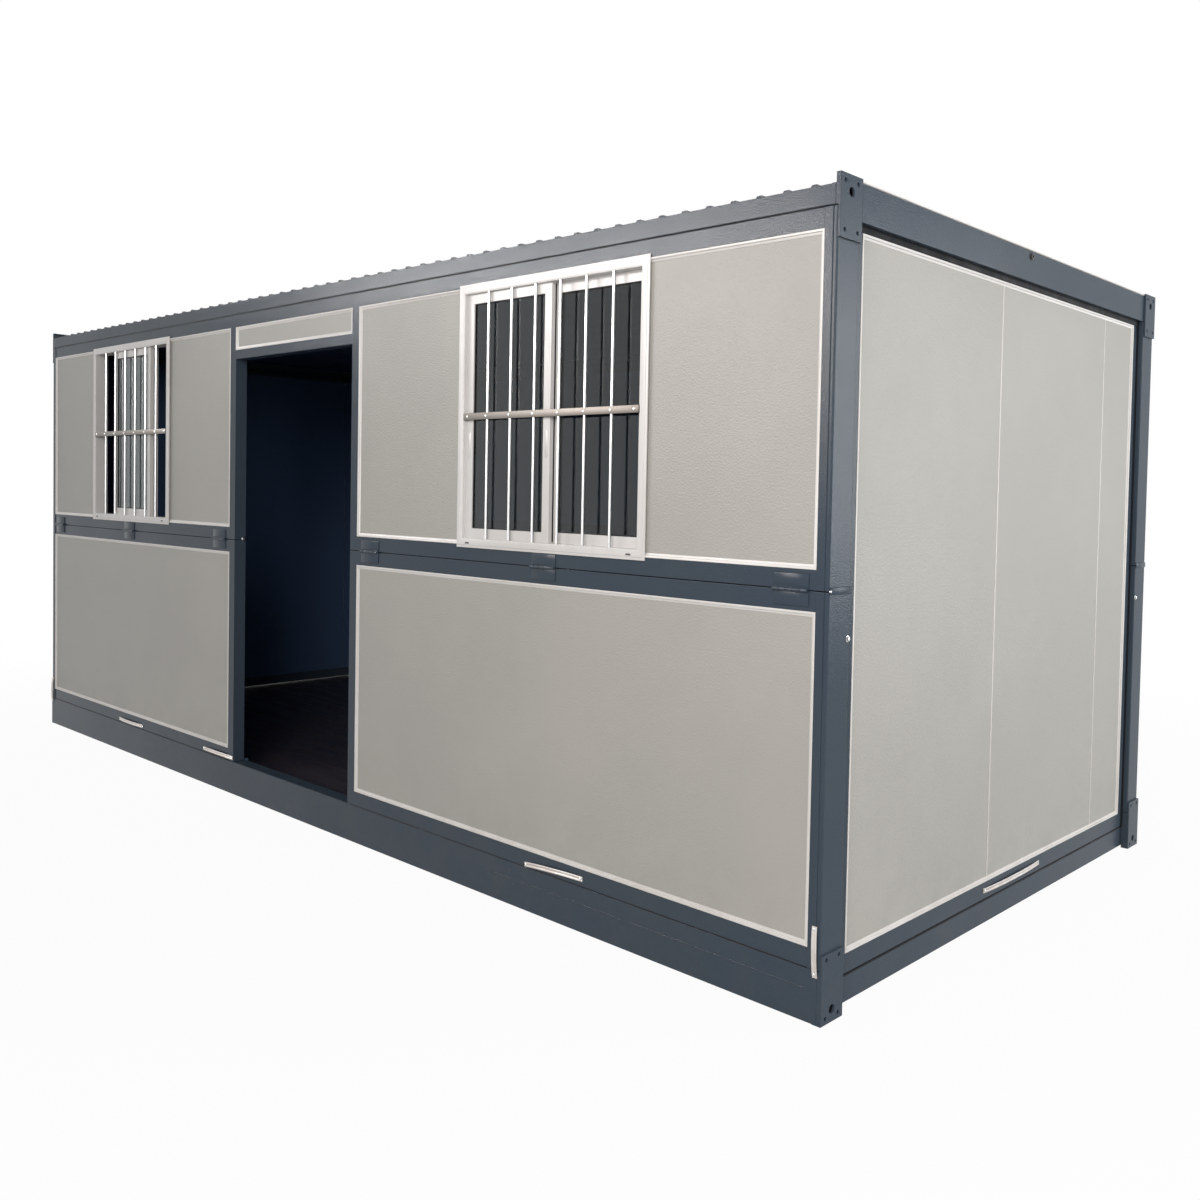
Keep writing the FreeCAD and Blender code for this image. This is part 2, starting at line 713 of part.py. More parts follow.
def corner_strap(label):
    """An upright strap on the front of a corner, from the base beam up the post."""
    body = handle_body(label, "YZ_Plane", d.strap_length)
    body.Placement.Rotation = FreeCAD.Rotation(ALONG_Z, 180)
    strap_x = beam_end_x - (d.post_wide - d.handle_width) / 2 + d.strap_shift
    return put(body, strap_x, -side_y, base_top - d.strap_drop)


handles = [
    side_handle("left_bay_handle", left_bay_middle),
    side_handle("right_bay_handle", right_bay_middle + d.right_handle_shift),
    side_handle("door_side_handle", door_left_x - d.handle_length / 2),
]
strap = corner_strap("right_corner_strap")
handles.append(strap)
handles.append(mirror("left_corner_strap", strap, ALONG_X))
parts.append(group("front_pull_handles", handles))
parts.append(group("back_pull_handles", [mirror(piece.Label + "_back", piece, ALONG_Y)
                                         for piece in handles]))


# Windows: an aluminium frame with a lip, two sliding sashes and their panes
frame_face_y = trim_face_y + d.lip_thick
frame_inset = d.lip_width - d.lip_over
clear_width = d.window_width - d.lip_width * 2
clear_high = bay_high - frame_inset * 2


def window_frame(label, body_x):
    lip = new_body(label + "_lip")
    sketch = new_sketch(lip, label + "_lip_outline", "XZ_Plane")
    rectangle(sketch, body_x - d.lip_over, upper_bay_foot - d.lip_over,
              d.window_width, bay_high + d.lip_over * 2)
    rectangle(sketch, body_x + frame_inset, upper_bay_foot + frame_inset, clear_width, clear_high)
    pad(lip, sketch, d.lip_thick, backwards=True)
    put(lip, 0, -frame_face_y, 0)
    ring = new_body(label + "_ring")
    sketch = new_sketch(ring, label + "_ring_outline", "XZ_Plane")
    rectangle(sketch, body_x, upper_bay_foot, window_body_width, bay_high)
    rectangle(sketch, body_x + frame_inset, upper_bay_foot + frame_inset, clear_width, clear_high)
    pad(ring, sketch, d.window_depth, backwards=True)
    put(ring, 0, -trim_face_y, 0)
    return fuse(label, lip, ring)


sash_wide = (clear_width + d.sash_lap) / 2
outer_sash_y = -frame_face_y + d.sash_inset
inner_sash_y = outer_sash_y + d.sash_thick + d.sash_gap


def sash(label, x, y):
    body = new_body(label)
    sketch = new_sketch(body, label + "_outline", "XZ_Plane")
    foot = upper_bay_foot + frame_inset
    rectangle(sketch, x, foot, sash_wide, clear_high)
    rectangle(sketch, x + d.sash_width, foot + d.sash_width,
              sash_wide - d.sash_width * 2, clear_high - d.sash_width * 2)
    pad(body, sketch, d.sash_thick, backwards=True)
    return put(body, 0, y, 0)


def pane(label, x, y):
    return block(label, x + d.sash_width, y + (d.sash_thick - d.glass_thick) / 2,
                 upper_bay_foot + frame_inset + d.sash_width,
                 sash_wide - d.sash_width * 2, d.glass_thick, clear_high - d.sash_width * 2)


left_clear_x = window_left_x + frame_inset
right_clear_x = window_right_x + frame_inset
middle_sash_x = left_clear_x + (clear_width - sash_wide) / 2
sash_places = {
    "window_left": [(middle_sash_x, outer_sash_y), (middle_sash_x, inner_sash_y)],
    "window_right": [(right_clear_x, outer_sash_y),
                     (right_clear_x + clear_width - sash_wide, inner_sash_y)],
}
parts.append(window_frame("window_left_frame", window_left_x))
parts.append(window_frame("window_right_frame", window_right_x))
for window, places in sash_places.items():
    parts.append(group(window + "_sashes", [sash("%s_sash_%d" % (window, number), x, y)
                                            for number, (x, y) in enumerate(places)]))
    parts.append(group(window + "_glass", [pane("%s_pane_%d" % (window, number), x, y)
                                           for number, (x, y) in enumerate(places)]))


# Roof: long beams, end beams that hide the heads of the end walls, joists, ceiling, sheet
parts.append(long_tube("roof_front_beam", -side_y, roof_foot, d.roof_beam_wide, d.roof_beam_high))
parts.append(long_tube("roof_back_beam", side_y - d.roof_beam_wide, roof_foot,
                       d.roof_beam_wide, d.roof_beam_high))
parts.append(end_tube("roof_left_beam", -beam_end_x, -post_y, roof_end_foot,
                      d.roof_end_thick, post_y * 2, d.roof_end_high))
parts.append(end_tube("roof_right_beam", beam_end_x - d.roof_end_thick, -post_y, roof_end_foot,
                      d.roof_end_thick, post_y * 2, d.roof_end_high))

roof_inner_y = side_y - d.roof_beam_wide
joist_foot = roof_top - d.roof_joist_high
roof_end_x = beam_end_x - d.roof_end_thick
roof_joists = []
for number in range(int(d.joist_count.value)):
    joist_x = joist_pitch * (number + 1) - floor_end_x - d.roof_joist_wide / 2
    roof_joists.append(block("roof_joist_%d" % (number + 1), joist_x, -roof_inner_y, joist_foot,
                             d.roof_joist_wide, roof_inner_y * 2, d.roof_joist_high))
parts.append(group("roof_joists", roof_joists))
parts.append(block("ceiling_board", -block_x, -roof_inner_y, joist_foot - d.ceiling_thick,
                   block_x * 2, roof_inner_y * 2, d.ceiling_thick))


def roof_sheet():
    """Ribs run from front to back, as many whole ones as fit between the end beams."""
    body = new_body("roof_sheet")
    sheet_wide = (side_y - d.sheet_set_back) * 2
    ribs = int((block_x.value * 2) // d.rib_pitch.value)
    rib_start = -(d.rib_pitch * ribs / 2)
    valley = d.rib_pitch - d.rib_crown - d.rib_slope * 2
    lower_edge = [(rib_start, size(0)), (rib_start + valley / 2, size(0))]
    crown_x = rib_start + valley / 2 + d.rib_slope
    lower_edge += [(crown_x, d.rib_high), (crown_x + d.rib_crown, d.rib_high)]
    lower_edge += [(crown_x + d.rib_crown + d.rib_slope, size(0)), (rib_start + d.rib_pitch, size(0))]
    upper_edge = [(x, z + d.sheet_thick) for x, z in reversed(lower_edge)]
    margin = new_sketch(body, "roof_sheet_margin", "XZ_Plane")
    rectangle(margin, -block_x, 0, block_x + rib_start, d.sheet_thick)
    rectangle(margin, -rib_start, 0, block_x + rib_start, d.sheet_thick)
    wave = new_sketch(body, "roof_sheet_wave", "XZ_Plane")
    outline(wave, lower_edge + upper_edge)
    rib = pad(body, wave, sheet_wide, backwards=True)
    row = body.newObject("PartDesign::LinearPattern", "roof_sheet_ribs")
    row.Originals = [rib]
    row.Direction = (wave, ["H_Axis"])
    row.Occurrences = ribs
    bind(row, "Length", d.rib_pitch * (ribs - 1))
    body.Tip = row
    pad(body, margin, sheet_wide, backwards=True)
    return put(body, 0, -(side_y - d.sheet_set_back), roof_top)


parts.append(roof_sheet())


# End walls: a frame, three panels and beads, hung on knuckles behind the roof end beam
end_half_y = post_y - d.end_clear
end_bay_y = end_half_y - d.end_stile
end_bay_foot = end_foot + d.end_bottom_rail
end_bay_top = end_top - d.end_top_rail
end_bay_high = end_bay_top - end_bay_foot
end_inner_x = wall_x - d.end_wall_thick
hinge_middles = [-d.hinge_spread, size(0), d.hinge_spread]


def end_wall_frame():
    body = new_body("right_wall_frame_plain")
    sketch = new_sketch(body, "right_wall_outline", "YZ_Plane")
    rectangle(sketch, -end_half_y, end_foot, end_half_y * 2, end_top - end_foot)
    rectangle(sketch, -end_bay_y, end_bay_foot, end_bay_y * 2, end_bay_high)
    pad(body, sketch, d.end_wall_thick)
    put(body, end_inner_x, 0, 0)
    pieces = [body]
    for number, middle_y in enumerate(hinge_middles, start=1):
        start_y = middle_y - d.knuckle_length / 2
        neck = block("wall_hinge_neck_%d" % number, hinge_x - d.pin_radius, start_y, end_top,
                     d.pin_radius * 2, d.knuckle_length, d.hinge_drop)
        knuckle = rod("wall_hinge_knuckle_%d" % number, hinge_x, start_y, hinge_z,
                      d.knuckle_radius, d.knuckle_length, ALONG_Y)
        bore = rod("wall_hinge_bore_%d" % number, hinge_x, start_y, hinge_z,
                   d.pin_radius + d.pin_clear, d.knuckle_length, ALONG_Y)
        solid = fuse("wall_hinge_solid_%d" % number, neck, knuckle)
        pieces.append(cut("wall_hinge_%d" % number, solid, bore))
    return fuse("right_wall_frame", *pieces)


def end_panels():
    """Whole panels side by side from the front, then one cut to what is left."""
    whole = int((end_bay_y.value * 2 - d.joint_groove.value) // d.panel_cover.value)
    pieces = []
    for number in range(whole + 1):
        start_y = d.panel_cover * number - end_bay_y
        stop_y = end_bay_y
        if number < whole:
            stop_y = start_y + d.panel_cover - d.joint_groove
        pieces.append(block("right_wall_panel_%d" % (number + 1), end_inner_x, start_y, end_bay_foot,
                            d.panel_thick, stop_y - start_y, end_bay_high))
    return group("right_wall_panels", pieces)


def end_trim():
    body = new_body("right_wall_trim")
    sketch = new_sketch(body, "right_wall_trim_outline", "YZ_Plane")
    rectangle(sketch, -end_bay_y, end_bay_foot, end_bay_y * 2, end_bay_high)
    rectangle(sketch, -end_bay_y + d.trim_width, end_bay_foot + d.trim_width,
              end_bay_y * 2 - d.trim_width * 2, end_bay_high - d.trim_width * 2)
    pad(body, sketch, trim_thick)
    return put(body, wall_x + d.trim_proud - trim_thick, 0, 0)


def end_wall_handle():
    body = handle_body("right_wall_handle", "XY_Plane", d.end_handle)
    return put(body, wall_x, d.end_handle_shift - d.end_handle / 2,
               end_foot + (d.end_bottom_rail - d.handle_width) / 2)


def hinge_pins():
    """Fixed knuckles and pins, one set to each hinge, welded to the roof end beam."""
    sets = []
    for number, middle_y in enumerate(hinge_middles, start=1):
        pieces = []
        near_y = middle_y + d.knuckle_length / 2 + d.knuckle_gap
        far_y = middle_y - d.knuckle_length * 1.5 - d.knuckle_gap
        for side, start_y in (("near", near_y), ("far", far_y)):
            name = "%s_%d" % (side, number)
            pieces.append(rod("fixed_knuckle_" + name, hinge_x, start_y, hinge_z,
                              d.knuckle_radius, d.knuckle_length, ALONG_Y))
            pieces.append(block("fixed_leaf_" + name, hinge_x, start_y, hinge_z,
                                roof_end_x - hinge_x, d.knuckle_length, d.knuckle_radius))
        pieces.append(rod("hinge_pin_%d" % number, hinge_x, far_y, hinge_z, d.pin_radius,
                          d.knuckle_length * 3 + d.knuckle_gap * 2, ALONG_Y))
        sets.append(fuse("right_hinge_%d" % number, *pieces))
    return group("right_hinge_pins", sets)


right_wall = [end_wall_frame(), end_panels(), end_trim(), end_wall_handle(), hinge_pins()]
parts += right_wall
parts += [mirror(piece.Label.replace("right", "left"), piece, ALONG_X) for piece in right_wall]


# Cable gland on the roof end beam
gland_z = roof_end_top - d.gland_radius * 1.4
gland = cut("cable_gland", rod("gland_outside", beam_end_x, 0, gland_z, d.gland_radius,
                               d.gland_length, ALONG_X),
            rod("gland_bore_rod", beam_end_x, 0, gland_z, d.gland_bore, d.gland_length, ALONG_X))
parts.append(gland)


# Every object must have been made before any file is written
doc.recompute()
for item in doc.Objects:
    if "Invalid" in item.State or "Error" in item.State:
        raise ValueError("%s was not made: %s" % (item.Label, item.State))
for part in parts:
    if part.Shape.isNull() or not part.Shape.isValid():
        raise ValueError("%s has no valid shape" % part.Label)

os.makedirs("parts", exist_ok=True)
for part in parts:
    part.Shape.exportStep(os.path.join("parts", part.Label + ".step"))
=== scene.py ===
import json
import math

import bmesh
import bpy
from mathutils import Matrix, Vector


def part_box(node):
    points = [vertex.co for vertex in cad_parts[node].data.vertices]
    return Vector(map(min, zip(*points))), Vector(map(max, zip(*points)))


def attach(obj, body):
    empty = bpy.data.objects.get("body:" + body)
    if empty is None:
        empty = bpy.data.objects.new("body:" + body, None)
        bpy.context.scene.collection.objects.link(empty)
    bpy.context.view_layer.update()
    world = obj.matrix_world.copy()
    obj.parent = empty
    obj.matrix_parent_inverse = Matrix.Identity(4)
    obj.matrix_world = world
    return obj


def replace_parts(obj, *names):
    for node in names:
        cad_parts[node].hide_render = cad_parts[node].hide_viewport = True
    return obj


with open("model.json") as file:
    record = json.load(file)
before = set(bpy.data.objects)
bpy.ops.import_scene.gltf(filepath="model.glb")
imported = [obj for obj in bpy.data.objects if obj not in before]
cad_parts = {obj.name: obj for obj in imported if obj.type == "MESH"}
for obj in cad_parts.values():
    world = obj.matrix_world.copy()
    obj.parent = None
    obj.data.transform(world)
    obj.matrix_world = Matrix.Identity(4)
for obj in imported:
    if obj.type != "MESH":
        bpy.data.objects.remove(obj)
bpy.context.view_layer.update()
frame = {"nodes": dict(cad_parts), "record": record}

# Foldable container house: finishes for the steel, panels, windows and boards, and the bars,
# beads, bolts, straps, gaskets and seals that stand on them. Lengths are in metres.

NODES = frame["nodes"]
SIDES = (("front", -1), ("back", 1))
ENDS = (("right", 1), ("left", -1))
CORNERS = [(facing, across) for facing in (-1, 1) for across in (-1, 1)]

# Faces of the house, from its middle or from the ground
SIDE = 1.219  # side walls
WALL = 2.997  # end walls
POST = 2.976  # ends of the side walls' frames
BLOCK = 2.997  # backs of the corner blocks
POST_FACE = 3.021  # corner posts
SEAM = 1.2695  # seam at the fold
ROOM_SIDE, ROOM_END = 1.1645, 2.9425  # outermost faces that look into the room

# Steel frame and panels
PLATE_WIDE, BLOCK_WALL = 0.110, 0.006
SKIN_END, SKIN_THICK = 3.0125, 0.0008
COVER_END, COVER_THICK, COVER_GAP = 3.0065, 0.0025, 0.0005
BOLT_HALF_SPAN, TOP_BOLT_EDGE = 0.032, 0.021
JAMB = 0.055
PANEL_COVER = 0.910

# Windows
LIP, LIP_OVER = 0.036, 0.011
SASH, SASH_WIDE = 0.038, 0.491
GLASS_THICK = 0.005

# Fold hinges and pull straps
LEAF_LONG, LEAF_HIGH, LEAF_THICK, BARREL = 0.131, 0.048, 0.004, 0.007
POST_HINGE_GAP, JAMB_HINGE_GAP = 0.025, 0.038
STRAP_LONG, STRAP_Z = 0.320, 0.181
RIGHT_STRAP_SHIFT, STRAP_TILT, CORNER_LEAN = 0.091, 0.055, 0.03

# Roof
RIB_PITCH, RIB_CROWN, RIB_SLOPE, SHEET_THICK = 0.104, 0.018, 0.009, 0.0015
JOISTS, JOIST_WIDE = 11, 0.040


# Camera at the place of the photograph

CAMERA_PLACE = (4.9114, -3.8611, 1.5403)
CAMERA_YAW, CAMERA_PITCH, CAMERA_ROLL = 0.70538, -0.03278, 0.02204
PICTURE_SIDE = 1200
FOCAL_PIXELS = 1128.41
CENTRE_RIGHT, CENTRE_DOWN = 134.9, -66.96
SENSOR_SIDE = 36
NEAREST, FARTHEST = 0.05, 300


def add_camera():
    yaw, pitch, roll = CAMERA_YAW, CAMERA_PITCH, CAMERA_ROLL
    ahead = Vector((-math.sin(yaw) * math.cos(pitch), math.cos(yaw) * math.cos(pitch), math.sin(pitch)))
    level = Vector((math.cos(yaw), math.sin(yaw), 0))
    upright = level.cross(ahead)
    right = level * math.cos(roll) + upright * math.sin(roll)
    up = upright * math.cos(roll) - level * math.sin(roll)
    data = bpy.data.cameras.new("camera")
    data.sensor_fit = "AUTO"
    data.sensor_width = data.sensor_height = SENSOR_SIDE
    data.lens = FOCAL_PIXELS / PICTURE_SIDE * SENSOR_SIDE
    data.shift_x = -CENTRE_RIGHT / PICTURE_SIDE
    data.shift_y = CENTRE_DOWN / PICTURE_SIDE
    data.clip_start, data.clip_end = NEAREST, FARTHEST
    camera = bpy.data.objects.new("camera", data)
    bpy.context.scene.collection.objects.link(camera)
    camera.matrix_world = Matrix(((right.x, up.x, -ahead.x, CAMERA_PLACE[0]),
                                  (right.y, up.y, -ahead.y, CAMERA_PLACE[1]),
                                  (right.z, up.z, -ahead.z, CAMERA_PLACE[2]),
                                  (0, 0, 0, 1)))
    bpy.context.scene.camera = camera


# Shader node helpers

def connect(tree, value, socket):
    """Feeds a socket from another one, or sets it to a plain value."""
    if isinstance(value, bpy.types.NodeSocket):
        tree.links.new(value, socket)
    else:
        socket.default_value = value


def add_math(tree, kind, first, second=0.0):
    node = tree.nodes.new("ShaderNodeMath")
    node.operation = kind
    for socket, value in zip(node.inputs, (first, second)):
        connect(tree, value, socket)
    return node.outputs[0]


def add_range(tree, value, low, high, to_low=0.0, to_high=1.0):
    """Eases a value that runs from low to high into one that runs from to_low to to_high."""
    node = tree.nodes.new("ShaderNodeMapRange")
    node.interpolation_type = "SMOOTHSTEP"
    labels = ("Value", "From Min", "From Max", "To Min", "To Max")
    for label, number in zip(labels, (value, low, high, to_low, to_high)):
        connect(tree, number, node.inputs[label])
    return node.outputs["Result"]


def add_mix(tree, share, first, second):
    node = tree.nodes.new("ShaderNodeMix")
    node.data_type = "RGBA"
    for label, value in zip(("Factor", "A", "B"), (share, first, second)):
        connect(tree, value, node.inputs[label])
    return node.outputs["Result"]


def add_noise(tree, scale, detail, roughness, stretch=(1, 1, 1)):
    """Noise in the object's own coordinates, stretched along an axis where asked."""
    place = tree.nodes.new("ShaderNodeTexCoord")
    mapping = tree.nodes.new("ShaderNodeMapping")
    mapping.inputs["Scale"].default_value = stretch
    noise = tree.nodes.new("ShaderNodeTexNoise")
    for label, value in (("Scale", scale), ("Detail", detail), ("Roughness", roughness)):
        connect(tree, value, noise.inputs[label])
    tree.links.new(place.outputs["Object"], mapping.inputs["Vector"])
    tree.links.new(mapping.outputs[0], noise.inputs["Vector"])
    return noise.outputs["Fac"]


def add_place(tree):
    """The coordinates of a point on the piece, as three outputs."""
    place = tree.nodes.new("ShaderNodeTexCoord")
    parts = tree.nodes.new("ShaderNodeSeparateXYZ")
    tree.links.new(place.outputs["Object"], parts.inputs[0])
    return parts.outputs


def add_seen(tree):
    """One for what the camera sees, straight, in a reflection or through glass."""
    path = tree.nodes.new("ShaderNodeLightPath")
    seen = add_math(tree, "MAXIMUM", path.outputs["Is Camera Ray"], path.outputs["Is Glossy Ray"])
    return add_math(tree, "MAXIMUM", seen, path.outputs["Is Transmission Ray"])


def mix_shaders(tree, share, first, second):
    mix = tree.nodes.new("ShaderNodeMixShader")
    for socket, value in zip(mix.inputs, (share, first, second)):
        tree.links.new(value, socket)
    return mix.outputs[0]


# Light: an even pale world, two large soft lamps, and two that show only as highlights

WORLD_LIGHT = 0.44


def add_background(tree, strength):
    light = tree.nodes.new("ShaderNodeBackground")
    light.inputs["Color"].default_value = (1, 1, 1, 1)
    light.inputs["Strength"].default_value = strength
    return light.outputs[0]


def add_world():
    world = bpy.data.worlds.new("studio")
    bpy.context.scene.world = world
    world.use_nodes = True
    tree = world.node_tree
    tree.nodes.clear()
    output = tree.nodes.new("ShaderNodeOutputWorld")
    mixed = mix_shaders(tree, add_seen(tree), add_background(tree, WORLD_LIGHT), add_background(tree, 1))
    tree.links.new(mixed, output.inputs["Surface"])


def add_lamp(name, place, target, size, watts, colour, along=None, glossy_only=False):
    """A rectangular lamp at a place, facing a target, with its width along a line where one is given."""
    data = bpy.data.lights.new(name, "AREA")
    data.shape = "RECTANGLE"
    data.size, data.size_y = size
    data.energy = watts
    data.color = colour
    lamp = bpy.data.objects.new(name, data)
    bpy.context.scene.collection.objects.link(lamp)
    lamp.location = place
    lamp.visible_diffuse = not glossy_only
    aim = Vector(target) - Vector(place)
    if along is None:
        lamp.rotation_euler = aim.to_track_quat("-Z", "Y").to_euler()
        return
    across = Vector(along).normalized()
    back = -(aim - across * aim.dot(across)).normalized()
    lamp.rotation_euler = Matrix((across, back.cross(across), back)).transposed().to_euler()


def add_lamps():
    add_lamp("front_lamp", place=(6.2, -6.8, 3.6), target=(2.4, -1.2, 1.2), size=(3.5, 3.0),
             watts=350, colour=(1.0, 0.96, 0.93))
    add_lamp("end_lamp", place=(9.0, 6.0, 2.4), target=(3.0, -0.5, 1.4), size=(3.5, 4.0),
             watts=400, colour=(0.97, 0.99, 1.0))
    add_lamp("strip_lamp", place=(-5.8, -7.38, 4.23), target=(-5.4, -1.2, 2.3), size=(8.6, 0.16),
             watts=800, colour=(1.0, 0.98, 0.97), along=(8.64, 0, -0.65), glossy_only=True)
    add_lamp("glow_lamp", place=(-1.96, -7.38, 3.24), target=(2.85, -1.22, 2.05), size=(2.8, 2.2),
             watts=330, colour=(1.0, 0.90, 0.85), glossy_only=True)


# Shader node groups shared by the finishes

def new_group(name, inputs, outputs):
    """A node group with its inputs at their first values; a label that ends in Colour is a colour."""
    tree = bpy.data.node_groups.new(name, "ShaderNodeTree")

    def new_socket(label, way):
        kind = "NodeSocketColor" if label.endswith("Colour") else "NodeSocketFloat"
        return tree.interface.new_socket(name=label, in_out=way, socket_type=kind)

    for label, value in inputs.items():
        new_socket(label, "INPUT").default_value = value
    for label in outputs:
        new_socket(label, "OUTPUT")
    start = tree.nodes.new("NodeGroupInput")
    end = tree.nodes.new("NodeGroupOutput")
    return tree, start.outputs, end.inputs


def group_mottle():
    """Slow changes of colour over a surface, with dust that gathers towards the ground."""
    tree, start, end = new_group(
        "mottle",
        {"Colour": (0.5, 0.5, 0.5, 1), "Other Colour": (0.4, 0.4, 0.4, 1),
         "Dust Colour": (0.3, 0.28, 0.25, 1), "Amount": 0.3, "Dust": 0.2,
         "Roughness": 0.4, "Roughness Change": 0.1},
        ["Colour", "Roughness"])
    patches = add_range(tree, add_noise(tree, scale=1.1, detail=4, roughness=0.6), low=0.38, high=0.66)
    grain = add_range(tree, add_noise(tree, scale=9.0, detail=6, roughness=0.65), low=0.35, high=0.7)
    share = add_math(tree, "MULTIPLY", patches, start["Amount"])
    colour = add_mix(tree, share, start["Colour"], start["Other Colour"])
    near_ground = add_range(tree, add_place(tree)["Z"], low=0.55, high=0.0)
    speckle = add_math(tree, "MULTIPLY", grain, near_ground)
    dust = add_math(tree, "MULTIPLY", speckle, start["Dust"])
    tree.links.new(add_mix(tree, dust, colour, start["Dust Colour"]), end["Colour"])
    change = add_math(tree, "MULTIPLY", grain, start["Roughness Change"])
    tree.links.new(add_math(tree, "ADD", start["Roughness"], change), end["Roughness"])
    return tree


def group_skin():
    """Height of a sprayed or rolled metal skin: fine peel and long slow waves."""
    tree, start, end = new_group("skin", {"Peel Scale": 400.0, "Peel": 0.5, "Wave": 1.0}, ["Height"])
    peel = add_noise(tree, scale=start["Peel Scale"], detail=2, roughness=0.5)
    wave = add_noise(tree, scale=1.6, detail=1, roughness=0.4)
    fine = add_math(tree, "MULTIPLY", peel, start["Peel"])
    slow = add_math(tree, "MULTIPLY", wave, start["Wave"])
    tree.links.new(add_math(tree, "ADD", fine, slow), end["Height"])
    return tree


def group_inside():
    """One on the faces that look into the room, none on the outside of the house."""
    tree, start, end = new_group("inside", {}, ["Mask"])
    place = add_place(tree)
    in_depth = add_math(tree, "LESS_THAN", add_math(tree, "ABSOLUTE", place["Y"]), ROOM_SIDE)
    in_length = add_math(tree, "LESS_THAN", add_math(tree, "ABSOLUTE", place["X"]), ROOM_END)
    tree.links.new(add_math(tree, "MULTIPLY", in_depth, in_length), end["Mask"])
    return tree


def group_marks(name, marks, clouds):
    """Marks of a given amount that lie only where the clouds are thick."""
    tree, start, end = new_group(name, {"Amount": 0.2}, ["Mask"])
    both = add_math(tree, "MULTIPLY", marks(tree), clouds(tree))
    tree.links.new(add_math(tree, "MULTIPLY", both, start["Amount"]), end["Mask"])
    return tree


def group_streaks():
    """Rain marks that run down a wall."""
    def lines(tree):
        noise = add_noise(tree, scale=14.0, detail=5, roughness=0.6, stretch=(1, 1, 0.05))
        return add_range(tree, noise, low=0.5, high=0.75)

    def clouds(tree):
        return add_range(tree, add_noise(tree, scale=0.9, detail=3, roughness=0.5), low=0.4, high=0.7)

    return group_marks("streaks", lines, clouds)


def group_chips():
    """Small chips and rubbed spots."""
    def spots(tree):
        return add_range(tree, add_noise(tree, scale=70.0, detail=3, roughness=0.6), low=0.62, high=0.68)

    def clouds(tree):
        return add_range(tree, add_noise(tree, scale=1.7, detail=3, roughness=0.5), low=0.52, high=0.72)

    return group_marks("chips", spots, clouds)


def group_grain():
    """Long wood grain along the house."""
    tree, start, end = new_group("grain", {}, ["Mask"])
    lines = add_noise(tree, scale=26.0, detail=6, roughness=0.65, stretch=(0.08, 1, 1))
    tree.links.new(add_range(tree, lines, low=0.3, high=0.7), end["Mask"])
    return tree


def group_brushed():
    """Fine lines of drawn or brushed metal that run up a bar."""
    tree, start, end = new_group("brushed", {}, ["Mask"])
    lines = add_noise(tree, scale=900.0, detail=3, roughness=0.5, stretch=(1, 1, 0.02))
    tree.links.new(lines, end["Mask"])
    return tree


GROUPS = {
    "mottle": group_mottle(), "skin": group_skin(), "inside": group_inside(), "streaks": group_streaks(),
    "chips": group_chips(), "grain": group_grain(), "brushed": group_brushed(),
}


def rgb(red, green, blue):
    """A colour given as it is seen on a screen, from 0 to 255."""
    def linear(value):
        value /= 255
        return value / 12.92 if value <= 0.04045 else ((value + 0.055) / 1.055) ** 2.4
    return (linear(red), linear(green), linear(blue), 1)


ROOM_BLUE = rgb(76, 98, 132)


class Finish:
    """A material with one Principled shader, fed by the shared groups."""

    def __init__(self, name):
        self.material = bpy.data.materials.new(name)
        self.material.use_nodes = True
        self.tree = self.material.node_tree
        self.shader = self.tree.nodes["Principled BSDF"]

    def use(self, name, **values):
        node = self.tree.nodes.new("ShaderNodeGroup")
        node.node_tree = GROUPS[name]
        for label, value in values.items():
            node.inputs[label.replace("_", " ")].default_value = value
        return node.outputs

    def put(self, label, value):
        connect(self.tree, value, self.shader.inputs[label])

    def mark(self, colour, marks, amount, mark_colour):
        """The colour with chips or streaks of another colour in it."""
        return add_mix(self.tree, self.use(marks, Amount=amount)["Mask"], colour, mark_colour)

    def bump(self, height, distance, rounded=0.0):
        node = self.tree.nodes.new("ShaderNodeBump")
        node.inputs["Distance"].default_value = distance
        node.inputs["Strength"].default_value = 1.0
        self.tree.links.new(height, node.inputs["Height"])
        if rounded:
            edge = self.tree.nodes.new("ShaderNodeBevel")
            edge.samples = 4
            edge.inputs["Radius"].default_value = rounded
            self.tree.links.new(edge.outputs[0], node.inputs["Normal"])
        self.tree.links.new(node.outputs[0], self.shader.inputs["Normal"])

    def skin(self, scale, peel, wave, distance, rounded=0.0):
        """Peel and waves of a sprayed or rolled skin, with eased edges where asked."""
        self.bump(self.use("skin", Peel_Scale=scale, Peel=peel, Wave=wave)["Height"], distance, rounded)


# Finishes, one for each thing the house is made of

def coated(name, colours, amount, dust, roughness, change, peel_scale, peel, wave, depth, rounded=0.0,
           marks=None, lined=False, **settings):
    """A mottled coat with dust low down, over a skin with peel and waves of some depth.

    The colours are the coat's own, the other one of its mottle and its dust's. Marks are the kind,
    amount and colour of chips or streaks. A lined finish is dark blue where it looks into the room.
    """
    finish = Finish(name)
    own, other, dusty = colours
    coat = finish.use("mottle", Colour=own, Other_Colour=other, Dust_Colour=dusty, Amount=amount,
                      Dust=dust, Roughness=roughness, Roughness_Change=change)
    colour = finish.mark(coat["Colour"], *marks) if marks else coat["Colour"]
    if lined:
        colour = add_mix(finish.tree, finish.use("inside")["Mask"], colour, ROOM_BLUE)
    finish.put("Base Color", colour)
    finish.put("Roughness", coat["Roughness"])
    for label, value in settings.items():
        finish.put(label.replace("_", " "), value)
    finish.skin(peel_scale, peel, wave, depth, rounded)
    return finish.material


